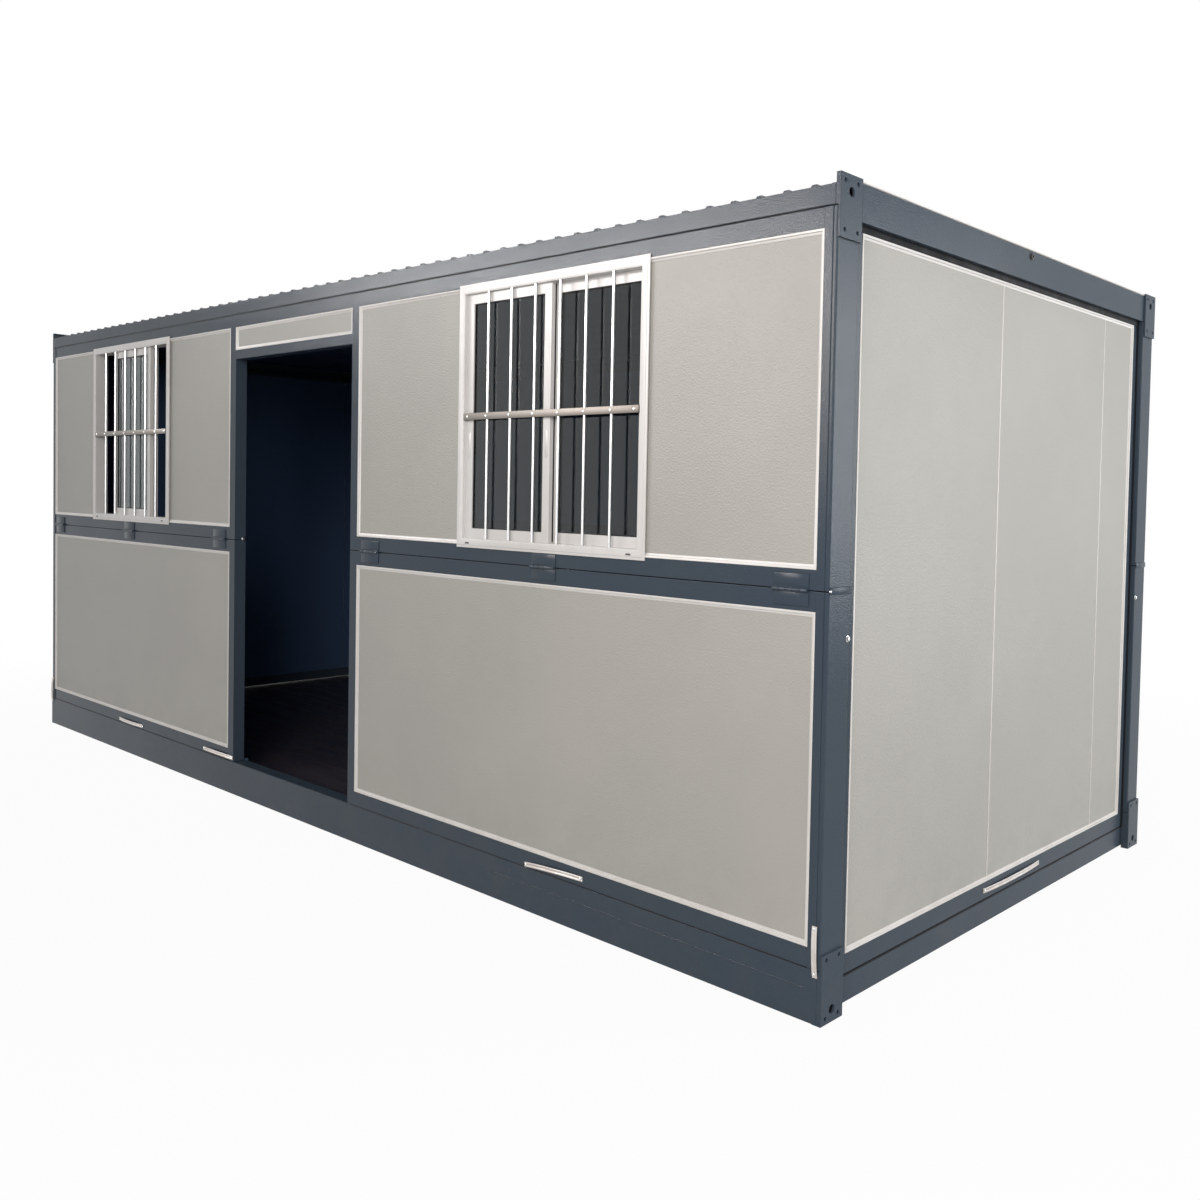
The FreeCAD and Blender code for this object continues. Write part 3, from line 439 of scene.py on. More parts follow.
def frame_paint(name, peel_depth):
    return coated(name, (rgb(61, 72, 84), rgb(64, 74, 83), rgb(78, 82, 85)), amount=0.8, dust=0.25,
                  roughness=0.18, change=0.04, peel_scale=200.0, peel=0.5, wave=6.0, depth=peel_depth,
                  rounded=0.003, marks=("chips", 0.3, rgb(96, 92, 90)), Specular_IOR_Level=0.1)


def panel_skin():
    return coated("panel_skin", (rgb(176, 174, 168), rgb(171, 169, 164), rgb(146, 142, 135)), amount=0.9,
                  dust=0.25, roughness=0.38, change=0.02, peel_scale=150.0, peel=0.9, wave=1.2, depth=0.0015,
                  marks=("streaks", 0.07, rgb(160, 154, 146)), lined=True, Specular_IOR_Level=0.16)


def white_bead():
    return coated("white_bead", (rgb(222, 219, 216), rgb(212, 208, 203), rgb(160, 152, 142)), amount=0.7,
                  dust=0.3, roughness=0.38, change=0.1, peel_scale=600.0, peel=0.2, wave=1.0, depth=0.00008,
                  rounded=0.0012, lined=True)


def window_aluminium():
    return coated("window_aluminium", (rgb(214, 212, 210), rgb(202, 199, 196), rgb(150, 143, 134)),
                  amount=0.7, dust=0.0, roughness=0.32, change=0.1, peel_scale=700.0, peel=0.2, wave=0.6,
                  depth=0.00006, rounded=0.0015, marks=("streaks", 0.3, rgb(176, 170, 162)))


def window_glass():
    finish = Finish("window_glass")
    for label, value in (("Base Color", (0.30, 0.36, 0.38, 1)), ("Roughness", 0.02), ("Metallic", 0.0),
                         ("Transmission Weight", 1.0), ("IOR", 1.45)):
        finish.put(label, value)
    finish.skin(scale=3.0, peel=1.0, wave=1.0, distance=0.0012)
    return finish.material


def bright_steel(name, colour, roughness):
    """Bare steel with the fine lines that its drawing left, darker and smoother in them."""
    finish = Finish(name)
    lines = finish.use("brushed")["Mask"]
    dark = tuple(value * 0.8 for value in colour[:3]) + (1,)
    finish.put("Base Color", add_mix(finish.tree, lines, dark, colour))
    finish.put("Metallic", 1.0)
    finish.put("Roughness", add_range(finish.tree, lines, low=0.2, high=0.8,
                                      to_low=roughness, to_high=roughness + 0.14))
    finish.bump(lines, 0.00004)
    return finish.material


def zinc_strip():
    return coated("zinc_strip", (rgb(214, 209, 205), rgb(190, 184, 180), rgb(140, 130, 122)), amount=0.9,
                  dust=0.5, roughness=0.35, change=0.2, peel_scale=900.0, peel=0.4, wave=1.0, depth=0.00006,
                  Metallic=0.35)


# Black rubber for the gaskets and brush strip, made darker still so that it also serves as painted shade in the
# seams and round the end walls.
def black_rubber_and_painted_shade():
    return coated("black_rubber_and_painted_shade", (rgb(13, 14, 19), rgb(18, 19, 24), rgb(40, 40, 42)), amount=0.8,
                  dust=0.25, roughness=0.6, change=0.2, peel_scale=800.0, peel=0.5, wave=1.0, depth=0.00008,
                  Specular_IOR_Level=0.25)


def floor_finish():
    finish = Finish("floor_board")
    grain = finish.use("grain")["Mask"]
    board = add_mix(finish.tree, grain, rgb(44, 42, 52), rgb(58, 51, 56))
    finish.put("Base Color", finish.mark(board, "chips", 0.5, rgb(76, 70, 70)))
    finish.put("Roughness", add_range(finish.tree, grain, low=0.0, high=1.0, to_low=0.3, to_high=0.45))
    finish.bump(grain, 0.0004)
    return finish.material


def lining_paint():
    return coated("ceiling_lining", (rgb(62, 80, 108), rgb(54, 70, 96), rgb(60, 64, 70)), amount=0.7,
                  dust=0.0, roughness=0.5, change=0.12, peel_scale=300.0, peel=0.4, wave=2.0, depth=0.0002)


def roof_coating():
    return coated("roof_coating", (rgb(112, 114, 118), rgb(96, 97, 100), rgb(110, 102, 92)), amount=0.9,
                  dust=0.0, roughness=0.42, change=0.2, peel_scale=350.0, peel=0.5, wave=3.0, depth=0.0003,
                  marks=("chips", 0.6, rgb(92, 84, 74)), Metallic=0.2)


def joist_primer():
    return coated("joist_primer", (rgb(78, 84, 90), rgb(62, 66, 70), rgb(92, 76, 62)), amount=0.9,
                  dust=0.6, roughness=0.5, change=0.2, peel_scale=300.0, peel=0.6, wave=2.0, depth=0.0002,
                  marks=("chips", 0.8, rgb(104, 74, 54)))


def black_plastic():
    return coated("black_plastic", (rgb(28, 29, 31), rgb(36, 37, 38), rgb(70, 68, 64)), amount=0.7,
                  dust=0.2, roughness=0.42, change=0.15, peel_scale=900.0, peel=0.5, wave=0.5, depth=0.00006)


FINISHES = {
    "painted_frame": frame_paint("frame_paint", 0.0013),
    "sandwich_panel": panel_skin(),
    "white_bead": white_bead(),
    "window_aluminium": window_aluminium(),
    "window_glass": window_glass(),
    "hinge_steel": frame_paint("hinge_paint", 0.0002),
    "pull_handle": zinc_strip(),
    "rubber_seal": black_rubber_and_painted_shade(),
    "floor_board": floor_finish(),
    "ceiling_board": lining_paint(),
    "roof_sheet": roof_coating(),
    "joist_steel": joist_primer(),
    "black_plastic": black_plastic(),
}
STEEL = bright_steel("bright_steel", rgb(205, 207, 208), 0.24)
STRIP_STEEL = bright_steel("strip_steel", rgb(104, 100, 96), 0.42)


def dress_nodes():
    for part in frame["record"]["subparts"]:
        node = NODES[part["node"]]
        node.data.materials.clear()
        node.data.materials.append(FINISHES[part["material_slot"]])


# Mesh helpers: bevelled blocks, turned shapes, prisms and swept sections, gathered into one mesh

X, Y, Z = Vector((1, 0, 0)), Vector((0, 1, 0)), Vector((0, 0, 1))
INWARD = [(1, 1), (-1, 1), (-1, -1), (1, -1)]


def merge(target, part):
    mesh = bpy.data.meshes.new("part")
    part.to_mesh(mesh)
    part.free()
    target.from_mesh(mesh)
    bpy.data.meshes.remove(mesh)


def add_block(target, near, far, bevel):
    """A block between two opposite corners, given in either order, with eased edges."""
    low = [min(pair) for pair in zip(near, far)]
    high = [max(pair) for pair in zip(near, far)]
    part = bmesh.new()
    bmesh.ops.create_cube(part, size=1.0)
    for vertex in part.verts:
        vertex.co = Vector([low[i] + (vertex.co[i] + 0.5) * (high[i] - low[i]) for i in range(3)])
    if bevel:
        bmesh.ops.bevel(part, geom=part.edges[:], offset=bevel, segments=2, profile=0.5,
                        affect="EDGES", clamp_overlap=True)
    merge(target, part)


def rod(radius, length):
    """The profile of a plain round rod."""
    return [(0, 0), (0, radius), (length, radius), (length, 0)]


def add_turned(target, place, axis, profile, sides=24):
    """A shape turned round an axis; the profile is pairs of distance along it and radius."""
    part = bmesh.new()
    rings = []
    for along, radius in profile:
        if radius <= 0:
            rings.append([part.verts.new((0, 0, along))])
            continue
        turns = [2 * math.pi * step / sides for step in range(sides)]
        rings.append([part.verts.new((radius * math.cos(turn), radius * math.sin(turn), along))
                      for turn in turns])
    for lower, upper in zip(rings, rings[1:]):
        for step in range(sides):
            ahead = (step + 1) % sides
            corners = [lower[step % len(lower)], lower[ahead % len(lower)],
                       upper[ahead % len(upper)], upper[step % len(upper)]]
            unique = list(dict.fromkeys(corners))
            if len(unique) > 2:
                part.faces.new(unique)
    turn = Z.rotation_difference(Vector(axis)).to_matrix().to_4x4()
    bmesh.ops.transform(part, matrix=Matrix.Translation(place) @ turn, verts=part.verts)
    bmesh.ops.recalc_face_normals(part, faces=part.faces)
    merge(target, part)


def add_swept(target, stations, closed_path):
    """A closed cross-section carried through stations, each a list of points in space."""
    part = bmesh.new()
    rings = [[part.verts.new(point) for point in station] for station in stations]
    pairs = list(zip(rings, rings[1:]))
    if closed_path:
        pairs.append((rings[-1], rings[0]))
    else:
        part.faces.new(rings[0])
        part.faces.new(list(reversed(rings[-1])))
    for here, ahead in pairs:
        for step in range(len(here)):
            after = (step + 1) % len(here)
            part.faces.new((here[step], here[after], ahead[after], ahead[step]))
    bmesh.ops.recalc_face_normals(part, faces=part.faces)
    merge(target, part)


def add_prism(target, outline, run):
    """A flat outline of points carried straight along a run."""
    add_swept(target, [outline, [Vector(point) + Vector(run) for point in outline]], False)


def add_ring(target, low_u, low_z, high_u, high_z, section, to_space):
    """A section carried round an upright rectangle; it holds pairs of inset and distance out."""
    corners = [(low_u, low_z), (high_u, low_z), (high_u, high_z), (low_u, high_z)]
    stations = [[to_space(u + du * inset, out, z + dz * inset) for inset, out in section]
                for (u, z), (du, dz) in zip(corners, INWARD)]
    add_swept(target, stations, True)


def add_piece(name, mesh_data, slot, body="house", material=None, angle=35):
    """One piece from the gathered mesh, with its slot's finish unless another is given.

    It is smooth but for edges sharper than the angle in degrees.
    """
    mesh = bpy.data.meshes.new(name)
    mesh_data.to_mesh(mesh)
    mesh_data.free()
    mesh.polygons.foreach_set("use_smooth", [True] * len(mesh.polygons))
    mesh.set_sharp_from_angle(angle=math.radians(angle))
    mesh.materials.append(material or FINISHES[slot])
    piece = bpy.data.objects.new(name, mesh)
    bpy.context.scene.collection.objects.link(piece)
    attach(piece, body)
    return piece


FLAT = 15  # edge angle for large flat plates, whose faces would look curved with a wider one


# Windows: bars, their flat strip and its rivets, gaskets, frame faces, drain covers and pulls

BAR_COUNT, BAR_PITCH, BAR_RADIUS = 6, 0.136, 0.0055
BAR_INSET, BAR_OVERRUN = 0.0005, 0.002
STRIP_HIGH, STRIP_THICK, STRIP_MIDDLE = 0.026, 0.003, 1.822
STRIP_FOLD, END_RIVET_INSET = 0.014, 0.024
STRIP_RIVET = [(0, 0.0052), (0.0008, 0.0052), (0.0018, 0.0042), (0.0024, 0.0024), (0.0026, 0)]


def add_bars(side, low, high):
    """Upright security bars with a flat strip riveted across them, folded back at both ends."""
    left, right = low.x + LIP, high.x - LIP
    foot, head = low.z + LIP, high.z - LIP
    middle = (left + right) / 2
    bar_y = low.y + BAR_RADIUS + BAR_INSET
    places = [middle + BAR_PITCH * (step - (BAR_COUNT - 1) / 2) for step in range(BAR_COUNT)]
    bars = bmesh.new()
    for x in places:
        add_turned(bars, (x, bar_y, foot - BAR_OVERRUN), Z, rod(BAR_RADIUS, head - foot + BAR_OVERRUN * 2))
    add_piece("window_%s_bars" % side, bars, "pull_handle", material=STEEL)

    strip = bmesh.new()
    strip_foot = STRIP_MIDDLE - STRIP_HIGH / 2
    strip_head = strip_foot + STRIP_HIGH
    front = bar_y - BAR_RADIUS - STRIP_THICK
    add_block(strip, (left, front, strip_foot), (right, front + STRIP_THICK, strip_head), bevel=0.0008)
    for end, inward in ((left, 1), (right, -1)):
        add_block(strip, (end, front, strip_foot),
                  (end + inward * STRIP_THICK, front + STRIP_FOLD, strip_head), bevel=0.0008)
    add_piece("window_%s_strip" % side, strip, "pull_handle", material=STRIP_STEEL)

    rivets = bmesh.new()
    for x in places + [left + END_RIVET_INSET, right - END_RIVET_INSET]:
        add_turned(rivets, (x, front, STRIP_MIDDLE), -Y, STRIP_RIVET, 16)
    add_piece("window_%s_rivets" % side, rivets, "pull_handle", material=STEEL)


GASKET_WIDE, GASKET_THICK, GASKET_SLOPE = 0.004, 0.003, 0.0008


def add_gaskets(side):
    """Black rubber between each pane and its sash, front and back."""
    low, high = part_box("window_%s_glass" % side)
    pane_wide = SASH_WIDE - SASH * 2
    inner_x = low.x if side == "left" else high.x - pane_wide
    rubber = bmesh.new()
    for x, y in ((low.x, low.y), (inner_x, high.y - GLASS_THICK)):
        for front, back in ((y - GASKET_THICK, y), (y + GLASS_THICK, y + GLASS_THICK + GASKET_THICK)):
            section = [(0, front), (GASKET_WIDE, front + GASKET_SLOPE), (GASKET_WIDE, back), (0, back)]
            add_ring(rubber, x, low.z, x + pane_wide, high.z, section, lambda u, y, z: (u, y, z))
    add_piece("window_%s_gaskets" % side, rubber, "rubber_seal")


FRAME_FACE = [(0.0095, -0.0005), (0.0100, 0.0010), (0.0108, 0.0016), (0.0325, 0.0016), (0.0335, 0.0010),
              (0.0340, -0.0005)]
FACE_OUT = 0.0016


def add_frame_face(side, low, high):
    """The raised inner part of the window frame, inside its thin outer flange."""
    face = bmesh.new()
    add_ring(face, low.x, low.z, high.x, high.z, FRAME_FACE, lambda u, out, z: (u, low.y - out, z))
    add_piece("window_%s_frame_face" % side, face, "window_aluminium")


WEEP_LONG, WEEP_HIGH, WEEP_THICK = 0.024, 0.006, 0.0012
WEEP_SHAPE = [(-0.5, -0.5), (0.5, -0.5), (0.5, 0.2), (0.25, 0.5), (-0.25, 0.5), (-0.5, 0.2)]
LEFT_WEEP_INSET, RIGHT_WEEP_INSET = 0.032, 0.040


def add_weeps(side, low, high):
    """Small hooded drain covers near the two lower corners of the frame."""
    covers = bmesh.new()
    for x in (low.x + LIP + LEFT_WEEP_INSET, high.x - LIP - RIGHT_WEEP_INSET):
        outline = [(x + u * WEEP_LONG, low.y - FACE_OUT, low.z + LIP / 2 + v * WEEP_HIGH)
                   for u, v in WEEP_SHAPE]
        add_prism(covers, outline, -Y * WEEP_THICK)
    add_piece("window_%s_weep_covers" % side, covers, "black_plastic")


PULL_PLATE = ((-0.007, -0.0012, -0.16), (0.007, 0, -0.06))
PULL_GRIP = ((-0.004, -0.0024, -0.15), (-0.001, -0.001, -0.07))
BRUSH = ((0, 0.0155, 0.004), (0.003, 0.0195, -0.004))


def add_sash_fittings(side):
    """Pull grips let into the outer sash and a brush strip on its meeting stile."""
    low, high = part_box("window_%s_sashes" % side)
    middle = (low.z + high.z) / 2
    fittings = bmesh.new()
    for x in (low.x + SASH / 2, low.x + SASH_WIDE - SASH / 2):
        place = Vector((x, low.y, middle))
        for (near, far), bevel in ((PULL_PLATE, 0.0005), (PULL_GRIP, 0.0006)):
            add_block(fittings, place + Vector(near), place + Vector(far), bevel)
    add_piece("window_%s_sash_pulls" % side, fittings, "window_aluminium")
    if side == "right":
        brush = bmesh.new()
        edge = low.x + SASH_WIDE
        add_block(brush, Vector((edge, low.y, low.z)) + Vector(BRUSH[0]),
                  Vector((edge, low.y, high.z)) + Vector(BRUSH[1]), bevel=0.0008)
        add_piece("window_right_brush_strip", brush, "rubber_seal")


def dress_windows():
    for side in ("left", "right"):
        low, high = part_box("window_%s_frame" % side)
        add_bars(side, low, high)
        add_gaskets(side)
        add_frame_face(side, low, high)
        add_weeps(side, low, high)
        add_sash_fittings(side)


# Beads round the panels: a rounded outer ridge and a flange that slopes to the panel

BEAD = [(0, -0.0055), (0, 0.0010), (0.0010, 0.0019), (0.0060, 0.0019), (0.0074, 0.0010), (0.0082, -0.0025),
        (0.0150, -0.0048), (0.0158, -0.0059)]
BACK_BAYS = 3


def side_space(facing):
    """Turns a place on a side wall and a distance out of it into a point."""
    return lambda u, out, z: (u, facing * (SIDE + out), z)


def add_bead_hook(target, gap_u, edge_u, low_z, high_z):
    """Bead round the end of a front bay, open where the window stands."""
    inward = 1 if gap_u > edge_u else -1
    to_space = side_space(-1)
    path = [((gap_u, high_z), (0, -1)), ((edge_u, high_z), (inward, -1)),
            ((edge_u, low_z), (inward, 1)), ((gap_u, low_z), (0, 1))]
    stations = [[to_space(u + du * inset, out, z + dz * inset) for inset, out in BEAD]
                for (u, z), (du, dz) in path]
    add_swept(target, stations, False)


def add_front_beads():
    beads = bmesh.new()
    for node in ("front_lower_left_panel", "front_lower_right_panel", "door_header_panel"):
        low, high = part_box(node)
        add_ring(beads, low.x, low.z, high.x, high.z, BEAD, side_space(-1))
    for side in ("left", "right"):
        low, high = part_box("front_upper_%s_panel" % side)
        window_low, window_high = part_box("window_%s_frame" % side)
        add_bead_hook(beads, window_low.x + LIP_OVER, low.x, low.z, high.z)
        add_bead_hook(beads, window_high.x - LIP_OVER, high.x, low.z, high.z)
    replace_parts(add_piece("front_beads", beads, "white_bead"), "front_panel_trims")


def add_back_beads():
    beads = bmesh.new()
    for node in ("back_lower_panels", "back_upper_panels"):
        low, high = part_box(node)
        wide = (high.x - low.x - JAMB * (BACK_BAYS - 1)) / BACK_BAYS
        for number in range(BACK_BAYS):
            start = low.x + (wide + JAMB) * number
            add_ring(beads, start, low.z, start + wide, high.z, BEAD, side_space(1))
    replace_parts(add_piece("back_beads", beads, "white_bead"), "back_panel_trims")


JOINT_FACE, JOINT_HALF, JOINT_INSET = WALL - 0.006, 0.0028, 0.010
JOINT_BEHIND, JOINT_OUT, JOINT_SHIFT = 0.006, 0.0018, 0.0015


def add_end_beads(side, facing):
    """The bead of an end wall and the strips over the joints between its panels."""
    low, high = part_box("%s_wall_panels" % side)
    body = "%s_end_wall" % side
    beads = bmesh.new()
    add_ring(beads, low.y, low.z, high.y, high.z, BEAD, lambda u, out, z: (facing * (WALL + out), u, z))
    piece = add_piece("%s_wall_beads" % side, beads, "white_bead", body)
    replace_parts(piece, "%s_wall_trim" % side)
    strips = bmesh.new()
    for number in (1, 2):
        joint = low.y + PANEL_COVER * number - JOINT_SHIFT
        add_block(strips, (facing * (JOINT_FACE - JOINT_BEHIND), joint - JOINT_HALF, low.z + JOINT_INSET),
                  (facing * (JOINT_FACE + JOINT_OUT), joint + JOINT_HALF, high.z - JOINT_INSET), bevel=0.0008)
    add_piece("%s_wall_joint_strips" % side, strips, "white_bead", body)


# Fold hinges: two leaves with eased edges, a knuckle in five lengths and a pin

LEAF_GAP = 0.0022
KNUCKLES, KNUCKLE_GAP, KNUCKLE_EASE, KNUCKLE_RADIUS = 5, 0.0006, 0.0008, 0.0068
PIN_RADIUS, PIN_INSET = 0.0036, 0.0008


def add_fold_hinge(target, x, facing):
    """A hinge that starts at x, on the front wall or, with facing 1, on the back wall."""
    face = facing * SIDE
    for foot, head in ((SEAM - LEAF_HIGH, SEAM - LEAF_GAP), (SEAM + LEAF_GAP, SEAM + LEAF_HIGH)):
        add_block(target, (x, face, foot), (x + LEAF_LONG, face + facing * LEAF_THICK, head), bevel=0.0014)
    centre = face + facing * (LEAF_THICK + BARREL / 2)
    length = LEAF_LONG / KNUCKLES
    along = length - KNUCKLE_GAP * 2
    eased = BARREL - KNUCKLE_EASE
    knuckle = [(0, 0), (0, eased), (KNUCKLE_EASE, KNUCKLE_RADIUS), (along - KNUCKLE_EASE, KNUCKLE_RADIUS),
               (along, eased), (along, 0)]
    for number in range(KNUCKLES):
        add_turned(target, (x + length * number + KNUCKLE_GAP, centre, SEAM), X, knuckle, 20)
    add_turned(target, (x + PIN_INSET, centre, SEAM), X, rod(PIN_RADIUS, LEAF_LONG - PIN_INSET * 2), 12)


def add_fold_hinges():
    left_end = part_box("front_lower_left_panel")[1].x
    right_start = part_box("front_lower_right_panel")[0].x
    middles = [sum(corner.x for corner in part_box("window_%s_frame" % side)) / 2 for side in ("left", "right")]
    outer = POST - POST_HINGE_GAP - LEAF_LONG
    starts = [-outer - LEAF_LONG, middles[0] - LEAF_LONG / 2, left_end - JAMB_HINGE_GAP - LEAF_LONG,
              right_start + JAMB_HINGE_GAP, middles[1] - LEAF_LONG / 2, outer]
    for side, facing in SIDES:
        hinges = bmesh.new()
        for start in starts:
            add_fold_hinge(hinges, start, facing)
        piece = add_piece("%s_hinges" % side, hinges, "hinge_steel")
        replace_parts(piece, "%s_fold_hinges" % side)


# Pull straps: ribbed strips that bow away from the wall between two rivets

STRAP_WIDE, STRAP_THICK = 0.018, 0.0022
STRAP_SECTION = [(-0.5, 0.0), (-0.5, 0.0022), (-0.38, 0.0040), (-0.22, 0.0040), (-0.10, 0.0024),
                 (0.10, 0.0024), (0.22, 0.0040), (0.38, 0.0040), (0.5, 0.0022), (0.5, 0.0)]
STRAP_STEPS, BOW_POWER, STRAP_RIVET_INSET = 28, 2.4, 0.009
STRAP_RIVET = [(0, 0.0048), (0.0022, 0.0046), (0.0034, 0.0030), (0.0038, 0)]
FOOT_BOW, CORNER_BOW, END_BOW = 0.008, 0.005, 0.006
FOOT_SHORT, CORNER_SHORT, CORNER_INSET = 0.006, 0.001, 0.0005


def add_strap(target, rivets, middle, along, across, outward, length, bow, sideways=0.0):
    """A strap whose middle stands off by bow, and off to one side by sideways."""
    stations = []
    for step in range(STRAP_STEPS + 1):
        share = step / STRAP_STEPS
        lift = 1 - abs(2 * share - 1) ** BOW_POWER
        centre = middle + along * (share - 0.5) * length + outward * bow * lift + across * sideways * lift
        stations.append([centre + across * wide * STRAP_WIDE + outward * thick
                         for wide, thick in STRAP_SECTION])
    add_swept(target, stations, False)
    for end in (-1, 1):
        place = middle + along * end * (length / 2 - STRAP_RIVET_INSET) + outward * STRAP_THICK
        add_turned(rivets, place, outward, STRAP_RIVET, 14)


def add_side_straps(side, facing):
    """Three straps at the foot of a side wall, one of them sagging, and one upright at each corner."""
    straps, rivets = bmesh.new(), bmesh.new()
    left_low, left_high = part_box("front_lower_left_panel")
    right_low, right_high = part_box("front_lower_right_panel")
    tilt = Vector((math.cos(STRAP_TILT), 0, math.sin(STRAP_TILT)))
    tilt_up = Vector((-math.sin(STRAP_TILT), 0, math.cos(STRAP_TILT)))
    places = [((left_low.x + left_high.x) / 2, X, Z, 0.0),
              ((right_low.x + right_high.x) / 2 + RIGHT_STRAP_SHIFT, tilt, tilt_up, 0.006),
              (left_high.x + JAMB - STRAP_LONG / 2, X, Z, 0.003)]
    outward = Y * facing
    for x, along, across, sideways in places:
        add_strap(straps, rivets, Vector((x, facing * SIDE, STRAP_Z)), along, across, outward,
                  STRAP_LONG - FOOT_SHORT, FOOT_BOW, sideways)
    low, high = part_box("%s_pull_handles" % side)
    for end in (-1, 1):
        foot = Vector((end * (high.x - STRAP_WIDE / 2 - CORNER_INSET), facing * (SIDE + COVER_THICK),
                       (low.z + high.z) / 2))
        lean = Vector((-end * math.sin(CORNER_LEAN), 0, math.cos(CORNER_LEAN)))
        lean_across = Vector((math.cos(CORNER_LEAN), 0, end * math.sin(CORNER_LEAN)))
        add_strap(straps, rivets, foot, lean, lean_across, outward, high.z - low.z - CORNER_SHORT, CORNER_BOW)
    piece = add_piece("%s_pull_straps" % side, straps, "pull_handle")
    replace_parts(piece, "%s_pull_handles" % side)
    add_piece("%s_strap_rivets" % side, rivets, "pull_handle", material=STEEL)


def add_end_strap(side, facing):
    low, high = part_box("%s_wall_handle" % side)
    strap, rivets = bmesh.new(), bmesh.new()
    middle = (low + high) / 2
    add_strap(strap, rivets, Vector((facing * WALL, middle.y, middle.z)), Y, Z, X * facing,
              high.y - low.y, END_BOW, -0.002)
    body = "%s_end_wall" % side
    piece = add_piece("%s_wall_strap" % side, strap, "pull_handle", body)
    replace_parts(piece, "%s_wall_handle" % side)
    add_piece("%s_wall_strap_rivets" % side, rivets, "pull_handle", body, STEEL)


# Bolts, collars and plates on the frame

WASHER_THICK, WASHER_EASE = 0.0014, 0.0004
POST_BOLT_Y, POST_BOLT_Z, POST_BOLT_RADIUS, POST_BOLT_HEAD = 1.1195, 1.127, 0.0095, 0.0055
SEAM_RIVET = [(0, 0.0042), (0.0036, 0.0042), (0.0048, 0.003), (0.0052, 0)]
SEAM_RIVET_Y, SEAM_RIVET_RISE = 1.2125, 0.0015
JAMB_BOLT_Y, JAMB_BOLT_RISE, JAMB_BOLT_RADIUS, JAMB_BOLT_HEAD = -1.176, 0.004, 0.010, 0.006


def add_bolt(target, place, axis, radius, head):
    """A washer and a six-sided head with a turned-down edge and a hollow top."""
    place, axis = Vector(place), Vector(axis)
    washer = [(0, 0), (0, radius), (WASHER_THICK - 0.0002, radius), (WASHER_THICK, radius - WASHER_EASE),
              (WASHER_THICK, 0)]
    add_turned(target, place, axis, washer)
    across = radius * 0.72
    hexagon = [(0, 0), (0, across), (head - 0.0008, across), (head, across * 0.8), (head, across * 0.45),
               (head - 0.0006, across * 0.4), (head - 0.0006, 0)]
    add_turned(target, place + axis * WASHER_THICK, axis, hexagon, 6)


def add_bolts():
    bolts = bmesh.new()
    for facing, across in CORNERS:
        outward = X * facing
        add_bolt(bolts, (facing * POST_FACE, across * POST_BOLT_Y, POST_BOLT_Z), outward,
                 POST_BOLT_RADIUS, POST_BOLT_HEAD)
        add_turned(bolts, (facing * POST_FACE, across * SEAM_RIVET_Y, SEAM + SEAM_RIVET_RISE), outward,
                   SEAM_RIVET, 14)
    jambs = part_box("door_header_frame")
    for x, facing in ((jambs[0].x, 1), (jambs[1].x, -1)):
        add_bolt(bolts, (x, JAMB_BOLT_Y, SEAM + JAMB_BOLT_RISE), X * facing, JAMB_BOLT_RADIUS, JAMB_BOLT_HEAD)
    add_piece("frame_bolts", bolts, "hinge_steel", material=STEEL)


COLLAR_THICK, COLLAR_BELOW, COLLAR_ABOVE = 0.005, 0.009, 0.013
COLLAR_OUTER, COLLAR_INNER = SIDE - 0.0045, SIDE - PLATE_WIDE + 0.0005


def add_collars():
    """Lips on the upper posts that cover the seam at the fold."""
    collars = bmesh.new()
    for facing, across in CORNERS:
        add_block(collars, (facing * POST_FACE, across * COLLAR_OUTER, SEAM - COLLAR_BELOW),
                  (facing * (POST_FACE + COLLAR_THICK), across * COLLAR_INNER, SEAM + COLLAR_ABOVE),
                  bevel=0.002)
    add_piece("post_collars", collars, "painted_frame")


SKIN_EDGE = 0.0015
WELD_START, WELD_STOP, WELD_LOW, WELD_HIGH, WELD_OUT = 1.45, BLOCK - 0.03, 0.0985, 0.1015, 0.0012


def add_beam_skins():
    """Folded skins over the long beams, out to the corner plates, and the welded seam low on the base."""
    skins = bmesh.new()
    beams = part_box("base_front_beam"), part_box("roof_front_beam")
    for facing in (-1, 1):
        inner, outer = facing * SIDE, facing * (SIDE + SKIN_THICK)
        for low, high in beams:
            add_block(skins, (-SKIN_END, inner, low.z + SKIN_EDGE), (SKIN_END, outer, high.z - SKIN_EDGE),
                      bevel=0.0003)
        weld = facing * (SIDE + SKIN_THICK + WELD_OUT)
        add_block(skins, (WELD_START, inner, WELD_LOW), (WELD_STOP, weld, WELD_HIGH), bevel=0.0005)
    add_piece("beam_skins", skins, "painted_frame", angle=FLAT)


def add_stile_covers():
    """Flat bars on the outer edge of the side walls, beside the posts."""
    covers = bmesh.new()
    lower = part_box("front_lower_right_frame")
    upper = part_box("front_upper_right_frame")
    for facing, end in CORNERS:
        for low, high in (lower, upper):
            add_block(covers, (end * (POST + COVER_GAP), facing * SIDE, low.z),
                      (end * COVER_END, facing * (SIDE + COVER_THICK), high.z), bevel=0.0008)
    add_piece("stile_covers", covers, "painted_frame", angle=FLAT)


PLUG_RADIUS, PLUG_LONG, PLUG_DEPTH = 0.0064, 0.004, 0.0075


def add_hole_shade_plugs():
    """Black plastic plugs inside the upper bolt holes of the top plates, put there as painted shade so that the
    holes look dark deep inside.
    """
    plugs = bmesh.new()
    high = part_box("top_corner_plates")[1]
    for facing, across in CORNERS:
        for side in (-1, 1):
            y = across * (SIDE - PLATE_WIDE / 2) + side * BOLT_HALF_SPAN
            place = (facing * (high.x - PLUG_DEPTH), y, high.z - TOP_BOLT_EDGE)
            add_turned(plugs, place, X * -facing, rod(PLUG_RADIUS, PLUG_LONG), 20)
    add_piece("hole_shade_plugs", plugs, "black_plastic")


BACK_NEAR, BACK_FAR, BACK_EDGE = BLOCK + 0.0004, BLOCK + 0.0024, BLOCK_WALL + 0.0002


